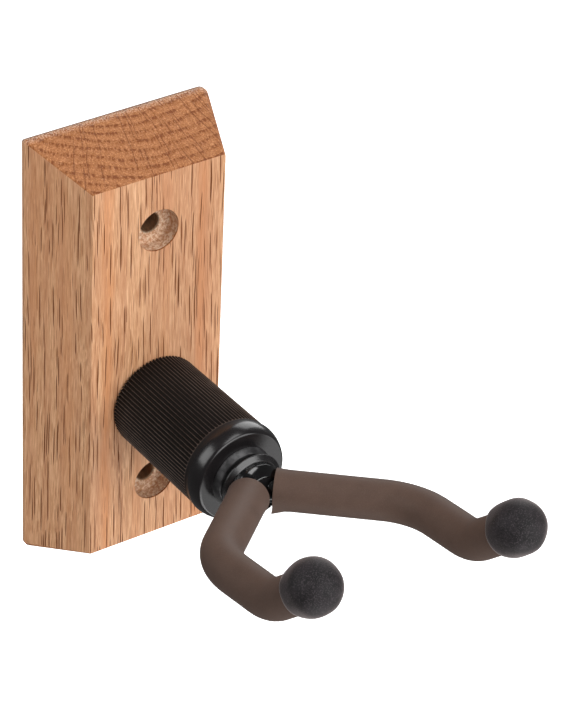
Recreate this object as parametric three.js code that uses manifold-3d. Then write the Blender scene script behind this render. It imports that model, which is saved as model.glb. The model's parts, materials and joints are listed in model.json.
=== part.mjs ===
// Wall hanger for a guitar: a bevelled oak block that screws to the wall, a ribbed barrel bolted to it
// from behind, and a rubber-sleeved steel yoke that swivels on a stem inside the barrel.
// Millimetres. +Z is up, the wall is the plane Y = 0 and the hanger stands out from it towards -Y.
// The origin is the centre of the block's back face. "Reach" is a distance out from the wall (-Y).
import * as THREE from "three";
import { mergeVertices } from "three/addons/utils/BufferGeometryUtils.js";
import Module from "manifold-3d";

const wasm = await Module();
wasm.setup();

// ---- Driving dimensions ------------------------------------------------------------------------

// Oak block: its back face lies on the wall and all four edges are bevelled over the whole depth.
const blockWidth = 61;
const blockHeight = 140;
const blockDepth = 23.8;
const sideBevel = 8.6;
const endBevel = 8.4;

// Two counterbored screw holes on the block's centre line.
const screwSpacing = 85.8;
const screwMiddle = 0.4;
const screwHoleRadius = 3;
const screwHeadRadius = 6.6;
const screwHeadDepth = 4.8;

// The swivel axis stands straight out of the block, at this height.
const axisHeight = -14;

// Barrel: a moulded tube with straight ribs and a smooth collar at its front end.
const barrelLength = 45.1;
const barrelRearRadius = 14.45;
const barrelDraft = 0.0095; // growth of the radius for each millimetre of length
const collarLength = 6.9; // the smooth length in front of the ribs
const ribCount = 80;
const ribDepth = 0.45;
const collarRise = 0.35;
const collarRun = 2.2;
const collarChamfer = 1.25;
const collarChamferLength = 2.3;
const boreRadius = 8.6;
const boreSpare = 5.5; // room in the bore behind the stem's end

// Bolt that holds the barrel: its head sits in a recess in the block's back.
const boltRadius = 4;
const boltHeadAcrossFlats = 13;
const boltHeadHeight = 5.3;
const boltShort = 1.5; // how far the bolt's end stops short of the insert's end
const washerRadius = 9;
const washerThickness = 1.6;
const springWasherRadius = 7;
const springWasherThickness = 2;
const springWasherSlot = 1.2;
const headSink = 0.7;
const recessClearance = 0.7;

// Threaded insert moulded into the barrel's web.
const insertRadius = 6;
const insertCover = 4; // plastic between the insert and the bore's floor

// Flanged bush in the barrel's mouth, in which the stem turns.
const bushFlangeRadius = 9.65;
const bushFlangeThickness = 2.1;
const bushFlangeChamfer = 0.95;
const bushShankLength = 8;

// Stem: the journal that turns in the bush, the threaded end for the nut, the flange and the hub.
const journalRadius = 5;
const threadRadius = 4;
const stemFlangeRadius = 9.8;
const stemFlangeThickness = 1.5;
const stemFlangeChamfer = 1.4;
const hubRadius = 7;
const hubShoulder = 0.8;
const hubDome = 4.4;

// Washers and lock nut on the stem.
const slipWasherRadius = 7.9;
const slipWasherThickness = 1.5;
const thrustWasherRadius = 7.9;
const thrustWasherThickness = 1.5;
const discSpringRadius = 7.7;
const discSpringThickness = 0.9;
const discSpringRise = 0.8;
const nutAcrossFlats = 13;
const nutHeight = 8;
const nutRingRadius = 5.7;
const nutRingHeight = 2.2;
const stemTail = 1.5; // thread that shows behind the nut

// Yoke: two steel rods that run out sideways from the hub, bend forward, then bend up.
const yokeSwing = 5.45; // where the free-swinging yoke stands, degrees about the barrel's axis
const yokeRise = 7.2; // upward tilt of the arms, degrees
const rodRadius = 4;
const rodSplit = 0.8; // gap between the ends of the two rods, inside the hub
const armApart = 33.6; // sideways distance from the axis to an arm's straight part
const firstCorner = 30.9; // forward distance from the crossing to the corner where an arm turns forward
const secondCorner = 57.7; // forward distance to the corner where an arm turns up
const firstBendRadius = 21;
const secondBendRadius = 15.5;
const tipAngle = 42.2; // slope of the arm's end, degrees above level
const tipReach = 21.9; // from the second corner to the middle of the tip

// Rubber sleeves over the rods, and the bulb-shaped rubber tips.
const sleeveWall = 1.6;
const sleeveSplit = 2; // gap between the ends of the two sleeves, in front of the hub
const tipWall = 2.1; // how far the bulb stands proud of the sleeve
const tipFrontLength = 8.3;
const tipRearLength = 5.3;
const tipRimWall = 1;
const sleeveInTip = 2;
const rodInTip = 2; // how far a rod passes the middle of its tip

// Fits.
const slipGap = 0.3; // between parts that turn or are pushed together
const holeClearance = 0.4; // added to the radius of a screw or bolt hole

// Facets.
const fineFacets = 64;
const smallFacets = 36;
const rodFacets = 12;
const sleeveFacets = 16;
const armSteps = 28;

// ---- Sizes worked out from the driving dimensions ----------------------------------------------

const barrelRear = blockDepth;
const barrelFront = barrelRear + barrelLength;
const ribLength = barrelLength - collarLength;
const recessDepth = headSink + boltHeadHeight + springWasherThickness + washerThickness;
const bushRear = barrelFront - bushShankLength;
const bushFront = barrelFront + bushFlangeThickness;
const slipWasherFront = bushFront + slipGap + slipWasherThickness;
const flangeRear = slipWasherFront + slipGap;
const flangeFront = flangeRear + stemFlangeThickness;
const thrustWasherRear = bushRear - slipGap - thrustWasherThickness;
const discSpringRear = thrustWasherRear - slipGap - discSpringThickness - discSpringRise;
const nutFront = discSpringRear - slipGap;
const nutRear = nutFront - nutHeight;
const stemRear = nutRear - stemTail;
const boreFloor = stemRear - boreSpare;
const insertFront = boreFloor - insertCover;
const boltTip = insertFront - boltShort;
const armCrossing = flangeFront + slipGap;
const sleeveRadius = rodRadius + slipGap + sleeveWall;
const tipRimRadius = sleeveRadius + tipRimWall;
const tipRadius = sleeveRadius + tipWall;

// The two arms leave the crossing of their axes at this angle to the forward direction. An arm's round
// end of a given radius stays half of a gap clear of the other arm's when it starts this far along.
const armSpread = Math.atan2(armApart, firstCorner);
const armStart = (radius, gap) => (radius * Math.cos(armSpread) + gap / 2) / Math.sin(armSpread);
const rodStart = armStart(rodRadius, rodSplit);
const sleeveStart = armStart(sleeveRadius, sleeveSplit);

// ---- Materials ---------------------------------------------------------------------------------

const material = (color, roughness, metalness) =>
  new THREE.MeshStandardMaterial({ color, roughness, metalness });
const oak = material("#dcae7d", 0.55, 0);
const ribbedPlastic = material("#2b2725", 0.6, 0);
const satinBlack = material("#4a494a", 0.4, 0.5);
const glossBlack = material("#0f0d0f", 0.12, 0.6);
const nylon = material("#151415", 0.45, 0);
const whiteNylon = material("#d8d6cc", 0.5, 0);
const zincSteel = material("#a9abad", 0.35, 1);
const brass = material("#b58e4b", 0.35, 1);
const blackRod = material("#17151a", 0.25, 0.7);
const sleeveRubber = material("#6f6057", 0.75, 0);
const tipRubber = material("#454246", 0.8, 0);

// ---- Helpers -----------------------------------------------------------------------------------

const radians = THREE.MathUtils.degToRad;

// A closed geometry as a solid for joining and cutting.
function solid(geometry) {
  const bare = geometry.clone();
  bare.deleteAttribute("normal");
  bare.deleteAttribute("uv");
  const merged = mergeVertices(bare, 1e-4);
  return new wasm.Manifold(
    new wasm.Mesh({
      numProp: 3,
      vertProperties: merged.attributes.position.array,
      triVerts: new Uint32Array(merged.index.array),
    }),
  );
}

// A solid's surface as a geometry that can be shown.
function surface(body) {
  const mesh = body.getMesh();
  const geometry = new THREE.BufferGeometry();
  geometry.setAttribute("position", new THREE.BufferAttribute(mesh.vertProperties, 3));
  geometry.setIndex(new THREE.BufferAttribute(mesh.triVerts, 1));
  return geometry;
}

// The geometry that is left of one closed geometry when others are cut from it.
function cut(geometry, ...cutters) {
  let body = solid(geometry);
  for (const cutter of cutters) body = body.subtract(solid(cutter));
  return surface(body);
}

// A turned shape about the -Y axis. The profile is a list of [radius, reach] pairs that runs
// outwards from the wall along the outside.
function turned(profile, facets = fineFacets) {
  const points = profile.map(([radius, reach]) => new THREE.Vector2(radius, reach));
  return new THREE.LatheGeometry(points, facets).rotateX(Math.PI);
}

// A ring about the -Y axis between two reaches.
function ring(inner, outer, rear, front, facets = smallFacets) {
  const profile = [
    [inner, rear],
    [outer, rear],
    [outer, front],
    [inner, front],
    [inner, rear],
  ];
  return turned(profile, facets);
}

// A cylinder about the -Y axis between two reaches.
function plug(radius, rear, front, facets = smallFacets) {
  const length = front - rear;
  return new THREE.CylinderGeometry(radius, radius, length, facets).translate(0, -(rear + length / 2), 0);
}

// A hexagonal prism about the -Y axis between two reaches, with a flat to each side.
function hexagon(acrossFlats, rear, front) {
  return plug(acrossFlats / Math.sqrt(3), rear, front, 6);
}

function named(name, geometry, look) {
  const mesh = new THREE.Mesh(geometry, look);
  mesh.name = name;
  return mesh;
}

// ---- Oak block ---------------------------------------------------------------------------------

// A box whose front corners are drawn in, so that every side slopes from the back edge to the front.
function bevelledBlock() {
  const geometry = new THREE.BoxGeometry(blockWidth, blockDepth, blockHeight);
  geometry.translate(0, -blockDepth / 2, 0);
  const corners = geometry.attributes.position;
  for (let i = 0; i < corners.count; i++) {
    if (corners.getY(i) > -blockDepth / 2) continue;
    corners.setX(i, corners.getX(i) - Math.sign(corners.getX(i)) * sideBevel);
    corners.setZ(i, corners.getZ(i) - Math.sign(corners.getZ(i)) * endBevel);
  }
  return geometry;
}

// Cutters reach past the faces that they open.
const past = 1;

function screwHole(height) {
  const shank = plug(screwHoleRadius, -past, blockDepth + past);
  const head = plug(screwHeadRadius, blockDepth - screwHeadDepth, blockDepth + past, 48);
  return [shank.translate(0, 0, height), head.translate(0, 0, height)];
}

function woodBase() {
  const boltHole = plug(boltRadius + holeClearance, -past, blockDepth + past);
  const recess = plug(washerRadius + recessClearance, -past, recessDepth);
  const cutters = [
    ...screwHole(screwMiddle + screwSpacing / 2),
    ...screwHole(screwMiddle - screwSpacing / 2),
    boltHole.translate(0, 0, axisHeight),
    recess.translate(0, 0, axisHeight),
  ];
  return named("wood_base", cut(bevelledBlock(), ...cutters), oak);
}

// ---- Barrel and what holds it ------------------------------------------------------------------

// The barrel's radius without its ribs' grooves, at a distance from its rear end.
const barrelRadius = (along) => barrelRearRadius + barrelDraft * along;

function ribbedBarrel() {
  const edge = 0.5;
  const collarStart = ribLength + collarRun;
  const chamferStart = barrelLength - collarChamferLength;
  const collarRadius = barrelRadius(collarStart) + collarRise;
  const profile = [
    [0, 0],
    [barrelRadius(0) - edge, 0],
    [barrelRadius(edge), edge],
    [barrelRadius(ribLength), ribLength],
    [barrelRadius(ribLength), ribLength + edge],
    [collarRadius, collarStart],
    [collarRadius, chamferStart],
    [collarRadius - collarChamfer, barrelLength],
    [0, barrelLength],
  ];
  const grooved = (along) => along >= edge && along <= ribLength;
  const placed = profile.map(([radius, along]) => [radius, barrelRear + along]);
  const geometry = turned(placed, ribCount * 2);
  const corners = geometry.attributes.position;
  for (let i = 0; i < corners.count; i++) {
    const column = Math.floor(i / profile.length);
    const [radius, along] = profile[i % profile.length];
    if (column % 2 === 0 || !grooved(along)) continue;
    const shrink = (radius - ribDepth) / radius;
    corners.setX(i, corners.getX(i) * shrink);
    corners.setZ(i, corners.getZ(i) * shrink);
  }
  return geometry;
}

function barrel() {
  const bore = plug(boreRadius, boreFloor, barrelFront + past, fineFacets);
  const insertPocket = plug(insertRadius + slipGap, barrelRear - past, insertFront + slipGap);
  const boltHole = plug(boltRadius + holeClearance, barrelRear, boreFloor + past);
  return named("barrel", cut(ribbedBarrel(), bore, insertPocket, boltHole), ribbedPlastic);
}

function barrelInsert() {
  const grooveDepth = 0.6;
  const bore = boltRadius + slipGap;
  const grooveEdge = (insertFront - barrelRear) / 3;
  const profile = [
    [bore, barrelRear],
    [insertRadius, barrelRear],
    [insertRadius, barrelRear + grooveEdge],
    [insertRadius - grooveDepth, barrelRear + grooveEdge],
    [insertRadius - grooveDepth, insertFront - grooveEdge],
    [insertRadius, insertFront - grooveEdge],
    [insertRadius, insertFront],
    [bore, insertFront],
    [bore, barrelRear],
  ];
  return named("barrel_insert", turned(profile, smallFacets), brass);
}

function baseBolt() {
  const headFront = headSink + boltHeadHeight;
  const chamfer = 0.8;
  const shank = turned([
    [0, headSink + past],
    [boltRadius, headSink + past],
    [boltRadius, boltTip - chamfer],
    [boltRadius - chamfer, boltTip],
    [0, boltTip],
  ], smallFacets);
  const head = solid(hexagon(boltHeadAcrossFlats, headSink, headFront));
  return named("base_bolt", surface(head.add(solid(shank))), zincSteel);
}

// The split spring washer: a ring with a slanting slot.
function baseSpringWasher() {
  const rear = headSink + boltHeadHeight;
  const inner = boltRadius + slipGap;
  const washer = ring(inner, springWasherRadius, rear, rear + springWasherThickness);
  const slot = new THREE.BoxGeometry(springWasherRadius, springWasherThickness * 3, springWasherSlot);
  slot.rotateX(radians(25));
  slot.translate(springWasherRadius / 2 + inner / 2, -(rear + springWasherThickness / 2), 0);
  return named("base_spring_washer", cut(washer, slot), zincSteel);
}

function baseWasher() {
  const rear = headSink + boltHeadHeight + springWasherThickness;
  const washer = ring(boltRadius + slipGap, washerRadius, rear, rear + washerThickness);
  return named("base_washer", washer, zincSteel);
}

function frontBush() {
  const bore = journalRadius + slipGap;
  const shank = boreRadius - slipGap;
  const profile = [
    [bore, bushRear],
    [shank, bushRear],
    [shank, barrelFront],
    [bushFlangeRadius, barrelFront],
    [bushFlangeRadius - bushFlangeChamfer, bushFront],
    [bore, bushFront],
    [bore, bushRear],
  ];
  return named("front_bush", turned(profile, 48), satinBlack);
}

// ---- Swivel stem and the pieces on it ----------------------------------------------------------

// Direction of an arm where it leaves the hub, and its other straight stretches, for side +1 or -1.
const rise = radians(yokeRise);
const tipSlope = radians(tipAngle);
const onArmPlane = (x, forward) =>
  new THREE.Vector3(x, -armCrossing - forward * Math.cos(rise), forward * Math.sin(rise));
const armCorner = (side) => onArmPlane(side * armApart, firstCorner);
const tipCorner = (side) => onArmPlane(side * armApart, secondCorner);
const tipDirection = new THREE.Vector3(0, -Math.cos(tipSlope), Math.sin(tipSlope));
const tipMiddle = (side) => tipCorner(side).addScaledVector(tipDirection, tipReach);
const armRoot = onArmPlane(0, 0);
const armDirection = (side) => armCorner(side).sub(armRoot).normalize();

// A cylinder from one point to another.
function rod(radius, from, to, facets) {
  const along = to.clone().sub(from);
  const turn = new THREE.Quaternion().setFromUnitVectors(
    new THREE.Vector3(0, 1, 0),
    along.clone().normalize(),
  );
  const geometry = new THREE.CylinderGeometry(radius, radius, along.length(), facets);
  return geometry.applyQuaternion(turn).translate(...from.clone().add(to).divideScalar(2));
}

function stem() {
  const chamfer = 0.6;
  const domeSteps = 6;
  const domeBase = flangeFront + hubShoulder;
  const threadEnd = thrustWasherRear - slipGap;
  const profile = [
    [0, stemRear],
    [threadRadius - chamfer, stemRear],
    [threadRadius, stemRear + chamfer],
    [threadRadius, threadEnd],
    [journalRadius, threadEnd],
    [journalRadius, flangeRear],
    [stemFlangeRadius, flangeRear],
    [stemFlangeRadius - stemFlangeChamfer, flangeFront],
    [hubRadius, flangeFront],
  ];
  for (let i = 0; i < domeSteps; i++) {
    const angle = ((Math.PI / 2) * i) / domeSteps;
    profile.push([hubRadius * Math.cos(angle), domeBase + hubDome * Math.sin(angle)]);
  }
  profile.push([0, domeBase + hubDome]);
  const sockets = [1, -1].map((side) => {
    const from = armRoot.clone().addScaledVector(armDirection(side), rodStart - slipGap);
    const to = armRoot.clone().addScaledVector(armDirection(side), hubRadius + hubDome);
    return rod(rodRadius + slipGap, from, to, smallFacets);
  });
  return named("swivel_stem", cut(turned(profile, 48), ...sockets), glossBlack);
}

function slipWasher() {
  const rear = bushFront + slipGap;
  const washer = ring(journalRadius + slipGap, slipWasherRadius, rear, slipWasherFront);
  return named("slip_washer", washer, nylon);
}

function thrustWasher() {
  const inner = journalRadius + slipGap;
  const washer = ring(inner, thrustWasherRadius, thrustWasherRear, bushRear - slipGap);
  return named("thrust_washer", washer, zincSteel);
}

// A coned disc spring that presses the thrust washer on the bush, so the yoke stays where it is put.
function discSpring() {
  const inner = threadRadius + slipGap;
  const thickness = discSpringThickness;
  const lift = discSpringRise;
  const profile = [
    [inner, discSpringRear],
    [discSpringRadius, discSpringRear + lift],
    [discSpringRadius, discSpringRear + lift + thickness],
    [inner, discSpringRear + thickness],
    [inner, discSpringRear],
  ];
  return named("disc_spring", turned(profile, smallFacets), zincSteel);
}

// The lock nut has a pocket at its rear end for the nylon ring.
function lockNut() {
  const body = hexagon(nutAcrossFlats, nutRear, nutFront);
  const bore = plug(threadRadius + slipGap, nutRear - past, nutFront + past);
  const pocket = plug(nutRingRadius + slipGap, nutRear - past, nutRear + nutRingHeight + slipGap);
  return named("lock_nut", cut(body, bore, pocket), zincSteel);
}

function lockRing() {
  const inner = threadRadius + slipGap;
  return named("lock_nut_ring", ring(inner, nutRingRadius, nutRear, nutRear + nutRingHeight), whiteNylon);
}

// ---- Yoke arms ---------------------------------------------------------------------------------

// A round bend that starts and ends on two straight stretches and is tangent to both.
class Bend extends THREE.Curve {
  constructor(before, corner, after, radius) {
    super();
    const back = before.clone().sub(corner).normalize();
    const ahead = after.clone().sub(corner).normalize();
    const opening = back.angleTo(ahead);
    const setback = radius / Math.tan(opening / 2);
    const inward = back.clone().add(ahead).normalize();
    this.from = corner.clone().addScaledVector(back, setback);
    this.to = corner.clone().addScaledVector(ahead, setback);
    this.middle = corner.clone().addScaledVector(inward, radius / Math.sin(opening / 2));
    this.sweep = Math.PI - opening;
  }
  getPoint(t, target = new THREE.Vector3()) {
    const first = this.from.clone().sub(this.middle);
    const last = this.to.clone().sub(this.middle);
    const scale = 1 / Math.sin(this.sweep);
    return target
      .copy(this.middle)
      .addScaledVector(first, Math.sin((1 - t) * this.sweep) * scale)
      .addScaledVector(last, Math.sin(t * this.sweep) * scale);
  }
}

// An arm's centre line, from a distance past the crossing to a distance past the tip's middle.
function armPath(side, start, end) {
  const first = armRoot.clone().addScaledVector(armDirection(side), start);
  const last = tipMiddle(side).addScaledVector(tipDirection, end);
  const outward = new Bend(first, armCorner(side), tipCorner(side), firstBendRadius);
  const upward = new Bend(armCorner(side), tipCorner(side), last, secondBendRadius);
  const path = new THREE.CurvePath();
  path.add(new THREE.LineCurve3(first, outward.from));
  path.add(outward);
  path.add(new THREE.LineCurve3(outward.to, upward.from));
  path.add(upward);
  path.add(new THREE.LineCurve3(upward.to, last));
  return path;
}

function disc(radius, facets) {
  const points = [];
  for (let i = 0; i < facets; i++) {
    const angle = (2 * Math.PI * i) / facets;
    points.push(new THREE.Vector2(radius * Math.cos(angle), radius * Math.sin(angle)));
  }
  return points;
}

function yokeRod(side, name) {
  const path = armPath(side, rodStart, rodInTip);
  const section = new THREE.Shape(disc(rodRadius, rodFacets));
  const geometry = new THREE.ExtrudeGeometry(section, { steps: armSteps, extrudePath: path });
  return named(name, geometry, blackRod);
}

function yokeSleeve(side, name) {
  const path = armPath(side, sleeveStart, sleeveInTip - tipRearLength);
  const section = new THREE.Shape(disc(sleeveRadius, sleeveFacets));
  section.holes.push(new THREE.Path(disc(rodRadius + slipGap, sleeveFacets)));
  const geometry = new THREE.ExtrudeGeometry(section, { steps: armSteps, extrudePath: path });
  return named(name, geometry, sleeveRubber);
}

// A rubber bulb with a rim that takes in the sleeve's end and a socket for the rod.
function yokeTip(side, name) {
  const roundSteps = 7;
  const rearSteps = 3;
  const sleeveSocket = sleeveRadius + slipGap;
  const rodSocket = rodRadius + slipGap;
  const sleeveFloor = sleeveInTip - tipRearLength + slipGap;
  const points = [
    new THREE.Vector2(0, rodInTip + slipGap),
    new THREE.Vector2(rodSocket, rodInTip + slipGap),
    new THREE.Vector2(rodSocket, sleeveFloor),
    new THREE.Vector2(sleeveSocket, sleeveFloor),
    new THREE.Vector2(sleeveSocket, -tipRearLength),
  ];
  for (let i = 0; i < rearSteps; i++) {
    const bulge = Math.sin(((Math.PI / 2) * i) / rearSteps);
    const along = -tipRearLength * (1 - i / rearSteps);
    points.push(new THREE.Vector2(tipRimRadius + (tipRadius - tipRimRadius) * bulge, along));
  }
  for (let i = 0; i < roundSteps; i++) {
    const angle = ((Math.PI / 2) * i) / roundSteps;
    points.push(new THREE.Vector2(tipRadius * Math.cos(angle), tipFrontLength * Math.sin(angle)));
  }
  points.push(new THREE.Vector2(0, tipFrontLength));
  const mesh = named(name, new THREE.LatheGeometry(points, 32), tipRubber);
  mesh.position.copy(tipMiddle(side));
  mesh.quaternion.setFromUnitVectors(new THREE.Vector3(0, 1, 0), tipDirection);
  return mesh;
}

// ---- Assembly ----------------------------------------------------------------------------------

// What is fixed on the swivel axis.
const fixedOnAxis = new THREE.Group();
fixedOnAxis.position.z = axisHeight;
fixedOnAxis.add(baseBolt(), baseSpringWasher(), baseWasher(), barrel(), barrelInsert(), frontBush());

// What swivels: the stem, the pieces on it and the yoke.
const swivel = new THREE.Group();
swivel.position.z = axisHeight;
swivel.rotation.y = radians(yokeSwing);
swivel.add(slipWasher(), thrustWasher(), discSpring(), lockNut(), lockRing(), stem());
for (const [side, word] of [[-1, "left"], [1, "right"]]) {
  swivel.add(yokeRod(side, word + "_rod"));
  swivel.add(yokeSleeve(side, word + "_sleeve"));
  swivel.add(yokeTip(side, word + "_tip"));
}

const hanger = new THREE.Group();
hanger.name = "wall_guitar_hanger";
hanger.add(woodBase(), fixedOnAxis, swivel);

export default hanger;
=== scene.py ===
# %% [markdown]
# # A wall hanger for a guitar
#
# The hanger is a bevelled oak block, a ribbed black barrel that stands out of it, and a steel yoke with
# rubber sleeves and tips that swivels in the barrel's mouth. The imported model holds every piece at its
# real size and place. Here each one is modelled again in fine detail around it, and gets its finish.

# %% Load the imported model
import json
import math

import bmesh
import bpy
from mathutils import Matrix, Vector, noise


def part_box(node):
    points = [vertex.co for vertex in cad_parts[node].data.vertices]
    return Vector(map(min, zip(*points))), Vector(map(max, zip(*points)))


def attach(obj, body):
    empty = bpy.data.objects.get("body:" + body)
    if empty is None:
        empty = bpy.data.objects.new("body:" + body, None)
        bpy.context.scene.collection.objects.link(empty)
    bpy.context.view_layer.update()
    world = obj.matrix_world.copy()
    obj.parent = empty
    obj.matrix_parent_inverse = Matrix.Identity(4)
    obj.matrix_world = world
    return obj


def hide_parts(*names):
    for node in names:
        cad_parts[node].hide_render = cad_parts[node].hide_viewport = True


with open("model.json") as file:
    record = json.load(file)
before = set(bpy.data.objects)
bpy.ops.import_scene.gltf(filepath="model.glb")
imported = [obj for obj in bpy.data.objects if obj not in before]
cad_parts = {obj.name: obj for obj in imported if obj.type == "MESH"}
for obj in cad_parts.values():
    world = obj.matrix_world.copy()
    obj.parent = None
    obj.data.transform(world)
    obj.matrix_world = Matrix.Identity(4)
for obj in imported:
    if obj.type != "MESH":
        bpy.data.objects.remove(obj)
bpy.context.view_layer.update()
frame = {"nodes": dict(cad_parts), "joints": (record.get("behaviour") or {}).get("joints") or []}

print("nodes in the packed model:", len(frame["nodes"]))

# %% [markdown]
# ## Units, axes and the sizes that everything follows
#
# Blender works in metres, but a maker thinks of this object in millimetres, so sizes are written in
# millimetres and multiplied by MM. The wall is the plane Y = 0. "Reach" is a distance out from the wall,
# which is the -Y direction. The barrel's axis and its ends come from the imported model.

# %% Main places
MM = 0.001
DEGREE = math.radians(1)
FULL_TURN = 2 * math.pi


def box_mm(node):
    """A node's low and high corners, in millimetres."""
    low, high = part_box(node)
    return low / MM, high / MM


def span(node):
    """A turned node's outer radius and the reaches of its rear and front, in millimetres."""
    low, high = box_mm(node)
    return (high.x - low.x) / 2, -high.y, -low.y


def add_object(name, data):
    """A new object that is in the scene."""
    made = bpy.data.objects.new(name, data)
    bpy.context.scene.collection.objects.link(made)
    return made


barrel_low, barrel_high = box_mm("barrel")
block_low, block_high = box_mm("wood_base")
AXIS_HEIGHT = (barrel_low.z + barrel_high.z) / 2
BARREL_REAR = -barrel_high.y
BARREL_FRONT = -barrel_low.y
CROSSING = Vector(frame["joints"][0]["pos_m"]) / MM
print(f"axis height {AXIS_HEIGHT:.2f}, barrel from reach {BARREL_REAR:.2f} to {BARREL_FRONT:.2f}")

# %% [markdown]
# ## Camera
#
# A long lens stands above and to the left of the hanger, about a metre away, so parallel edges stay
# nearly parallel. Its place is worked out from two angles and a distance, as on a tripod, and a small
# roll is added last.

# %% Camera
AZIMUTH = -35.49 * DEGREE
ELEVATION = 33.69 * DEGREE
ROLL = 2.47 * DEGREE
DISTANCE = 1.0633
AIM = Vector((0.018, -0.060, 0.0171))
FOCAL_LENGTH = 194.5

back = Vector((
    math.sin(AZIMUTH) * math.cos(ELEVATION),
    -math.cos(AZIMUTH) * math.cos(ELEVATION),
    math.sin(ELEVATION),
))
level_right = Vector((math.cos(AZIMUTH), math.sin(AZIMUTH), 0))
level_up = back.cross(level_right)
right = level_right * math.cos(ROLL) + level_up * math.sin(ROLL)
up = level_up * math.cos(ROLL) - level_right * math.sin(ROLL)

lens = bpy.data.cameras.new("camera")
lens.lens = FOCAL_LENGTH
lens.clip_end = 100
camera = add_object("camera", lens)
facing = Matrix((right, up, back)).transposed().to_4x4()
camera.matrix_world = Matrix.Translation(AIM + back * DISTANCE) @ facing
bpy.context.scene.camera = camera
print("camera at", [round(x, 3) for x in camera.location])

# %% [markdown]
# ## Floor and light
#
# The hanger floats in front of white, so the floor lies well below it, glows by itself, and neither
# shades the hanger nor shows in its gloss. The world is a faint white tent. It is fainter still for
# glossy rays, because a black piece would turn grey if it mirrored a bright room. Six softboxes do the
# rest: the key and the low front one light the faces, and the others draw the highlights.

# %% Floor and tent
FLOOR_DROP = 0.45
FLOOR_SIZE = 60
PAPER_GLOW = 0.9
TENT_STRENGTH = 0.22
TENT_IN_GLOSS = 0.09
scene = bpy.context.scene
scene.view_settings.view_transform = "Standard"

bpy.ops.mesh.primitive_plane_add(size=FLOOR_SIZE, location=(0, 0, block_low.z * MM - FLOOR_DROP))
floor = bpy.context.object
floor.name = "floor"
floor.visible_diffuse = False
floor.visible_glossy = False
floor.visible_shadow = False
paper = bpy.data.materials.new("floor_paper")
paper.use_nodes = True
paper_inputs = paper.node_tree.nodes["Principled BSDF"].inputs
paper_inputs["Base Color"].default_value = (0.93, 0.93, 0.93, 1)
paper_inputs["Roughness"].default_value = 0.9
paper_inputs["Emission Color"].default_value = (1, 1, 1, 1)
paper_inputs["Emission Strength"].default_value = PAPER_GLOW
floor.data.materials.append(paper)

world = bpy.data.worlds.new("tent")
world.use_nodes = True
tent = world.node_tree
tent_light = tent.nodes["Background"]
tent_light.inputs["Color"].default_value = (1, 1, 1, 1)
ray = tent.nodes.new("ShaderNodeLightPath")
strength = tent.nodes.new("ShaderNodeMapRange")
strength.inputs["To Min"].default_value = TENT_STRENGTH
strength.inputs["To Max"].default_value = TENT_IN_GLOSS
tent.links.new(ray.outputs["Is Glossy Ray"], strength.inputs["Value"])
tent.links.new(strength.outputs["Result"], tent_light.inputs["Strength"])
scene.world = world
print("floor at height", round(floor.location.z, 3))

# %% Softboxes
HANGER_MIDDLE = Vector((0, -0.06, 0))
# Each row: a direction from the hanger, a distance, a width and a height in metres, a power in watts.
SOFTBOXES = {
    "key": ((0.22, -1.0, 0.45), 1.6, 1.7, 1.3, 24),
    "left": ((-0.8, 0.2, 0.56), 1.3, 0.75, 0.8, 6.3),
    "overhead": ((0.1, -0.2, 1.0), 1.5, 1.0, 0.5, 5.5),
    "back_right": ((0.70, 0.54, 0.42), 1.3, 0.6, 1.1, 5.5),
    "low_front": ((-0.1, -0.6, -0.8), 1.5, 1.3, 1.0, 12),
    "low_right": ((0.62, -0.62, -0.42), 1.4, 0.8, 0.8, 3),
}

for name, (toward, distance, width, height, power) in SOFTBOXES.items():
    light = bpy.data.lights.new(name, "AREA")
    light.shape = "RECTANGLE"
    light.size = width
    light.size_y = height
    light.energy = power
    lamp = add_object(name, light)
    direction = Vector(toward).normalized()
    lamp.location = HANGER_MIDDLE + direction * distance
    lamp.rotation_euler = direction.to_track_quat("Z", "Y").to_euler()
print("softboxes:", list(SOFTBOXES))

# %% [markdown]
# ## Tools for shapes
#
# Most pieces on the barrel's axis are turned: their outline is drawn once and spun round the axis. The
# outline's corners are rounded first, with a vertex bevel on the bare wire, because no real edge is
# perfectly sharp and the rounding is what catches the light. A third number in a point is its rounding.
# Weighted normals keep the big flat faces flat in shading, so the small roundings beside them look crisp.

# %% Round, spin and smooth
# Points closer than MERGE, in metres, become one. Places closer than NEAR, in millimetres, count as one.
SMOOTH_ANGLE = 32
ROUNDING_SEGMENTS = 3
MERGE = 1e-6
NEAR = 0.01


def round_off(bm, geom, width, segments, affect="EDGES"):
    """Rounds edges, or the corners of a bare wire, by a width in mm."""
    bmesh.ops.bevel(bm, geom=geom, offset=width * MM, offset_type="OFFSET", segments=segments, profile=0.5,
                    affect=affect, clamp_overlap=True, material=-1)


def spin_wire(bm, centre, axis, steps):
    """Spins everything drawn so far all the way round, and closes the skin with its faces outwards."""
    wire = bm.verts[:] + bm.edges[:]
    bmesh.ops.spin(bm, geom=wire, cent=centre, axis=axis, angle=FULL_TURN, steps=steps, use_merge=True)
    bmesh.ops.remove_doubles(bm, verts=bm.verts, dist=MERGE)
    bmesh.ops.recalc_face_normals(bm, faces=bm.faces)


def smooth(piece, angle=SMOOTH_ANGLE):
    """Smooths a piece, except at edges sharper than the angle."""
    piece.data.shade_smooth()
    piece.data.set_sharp_from_angle(angle=angle * DEGREE)
    weighted = piece.modifiers.new("weighted_normals", "WEIGHTED_NORMAL")
    weighted.mode = "FACE_AREA"
    weighted.keep_sharp = True


def finish_mesh(piece_name, bm, angle=SMOOTH_ANGLE):
    """Turns a bmesh into a smooth object at the origin."""
    mesh = bpy.data.meshes.new(piece_name)
    bm.to_mesh(mesh)
    bm.free()
    piece = add_object(piece_name, mesh)
    smooth(piece, angle)
    return piece


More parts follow.
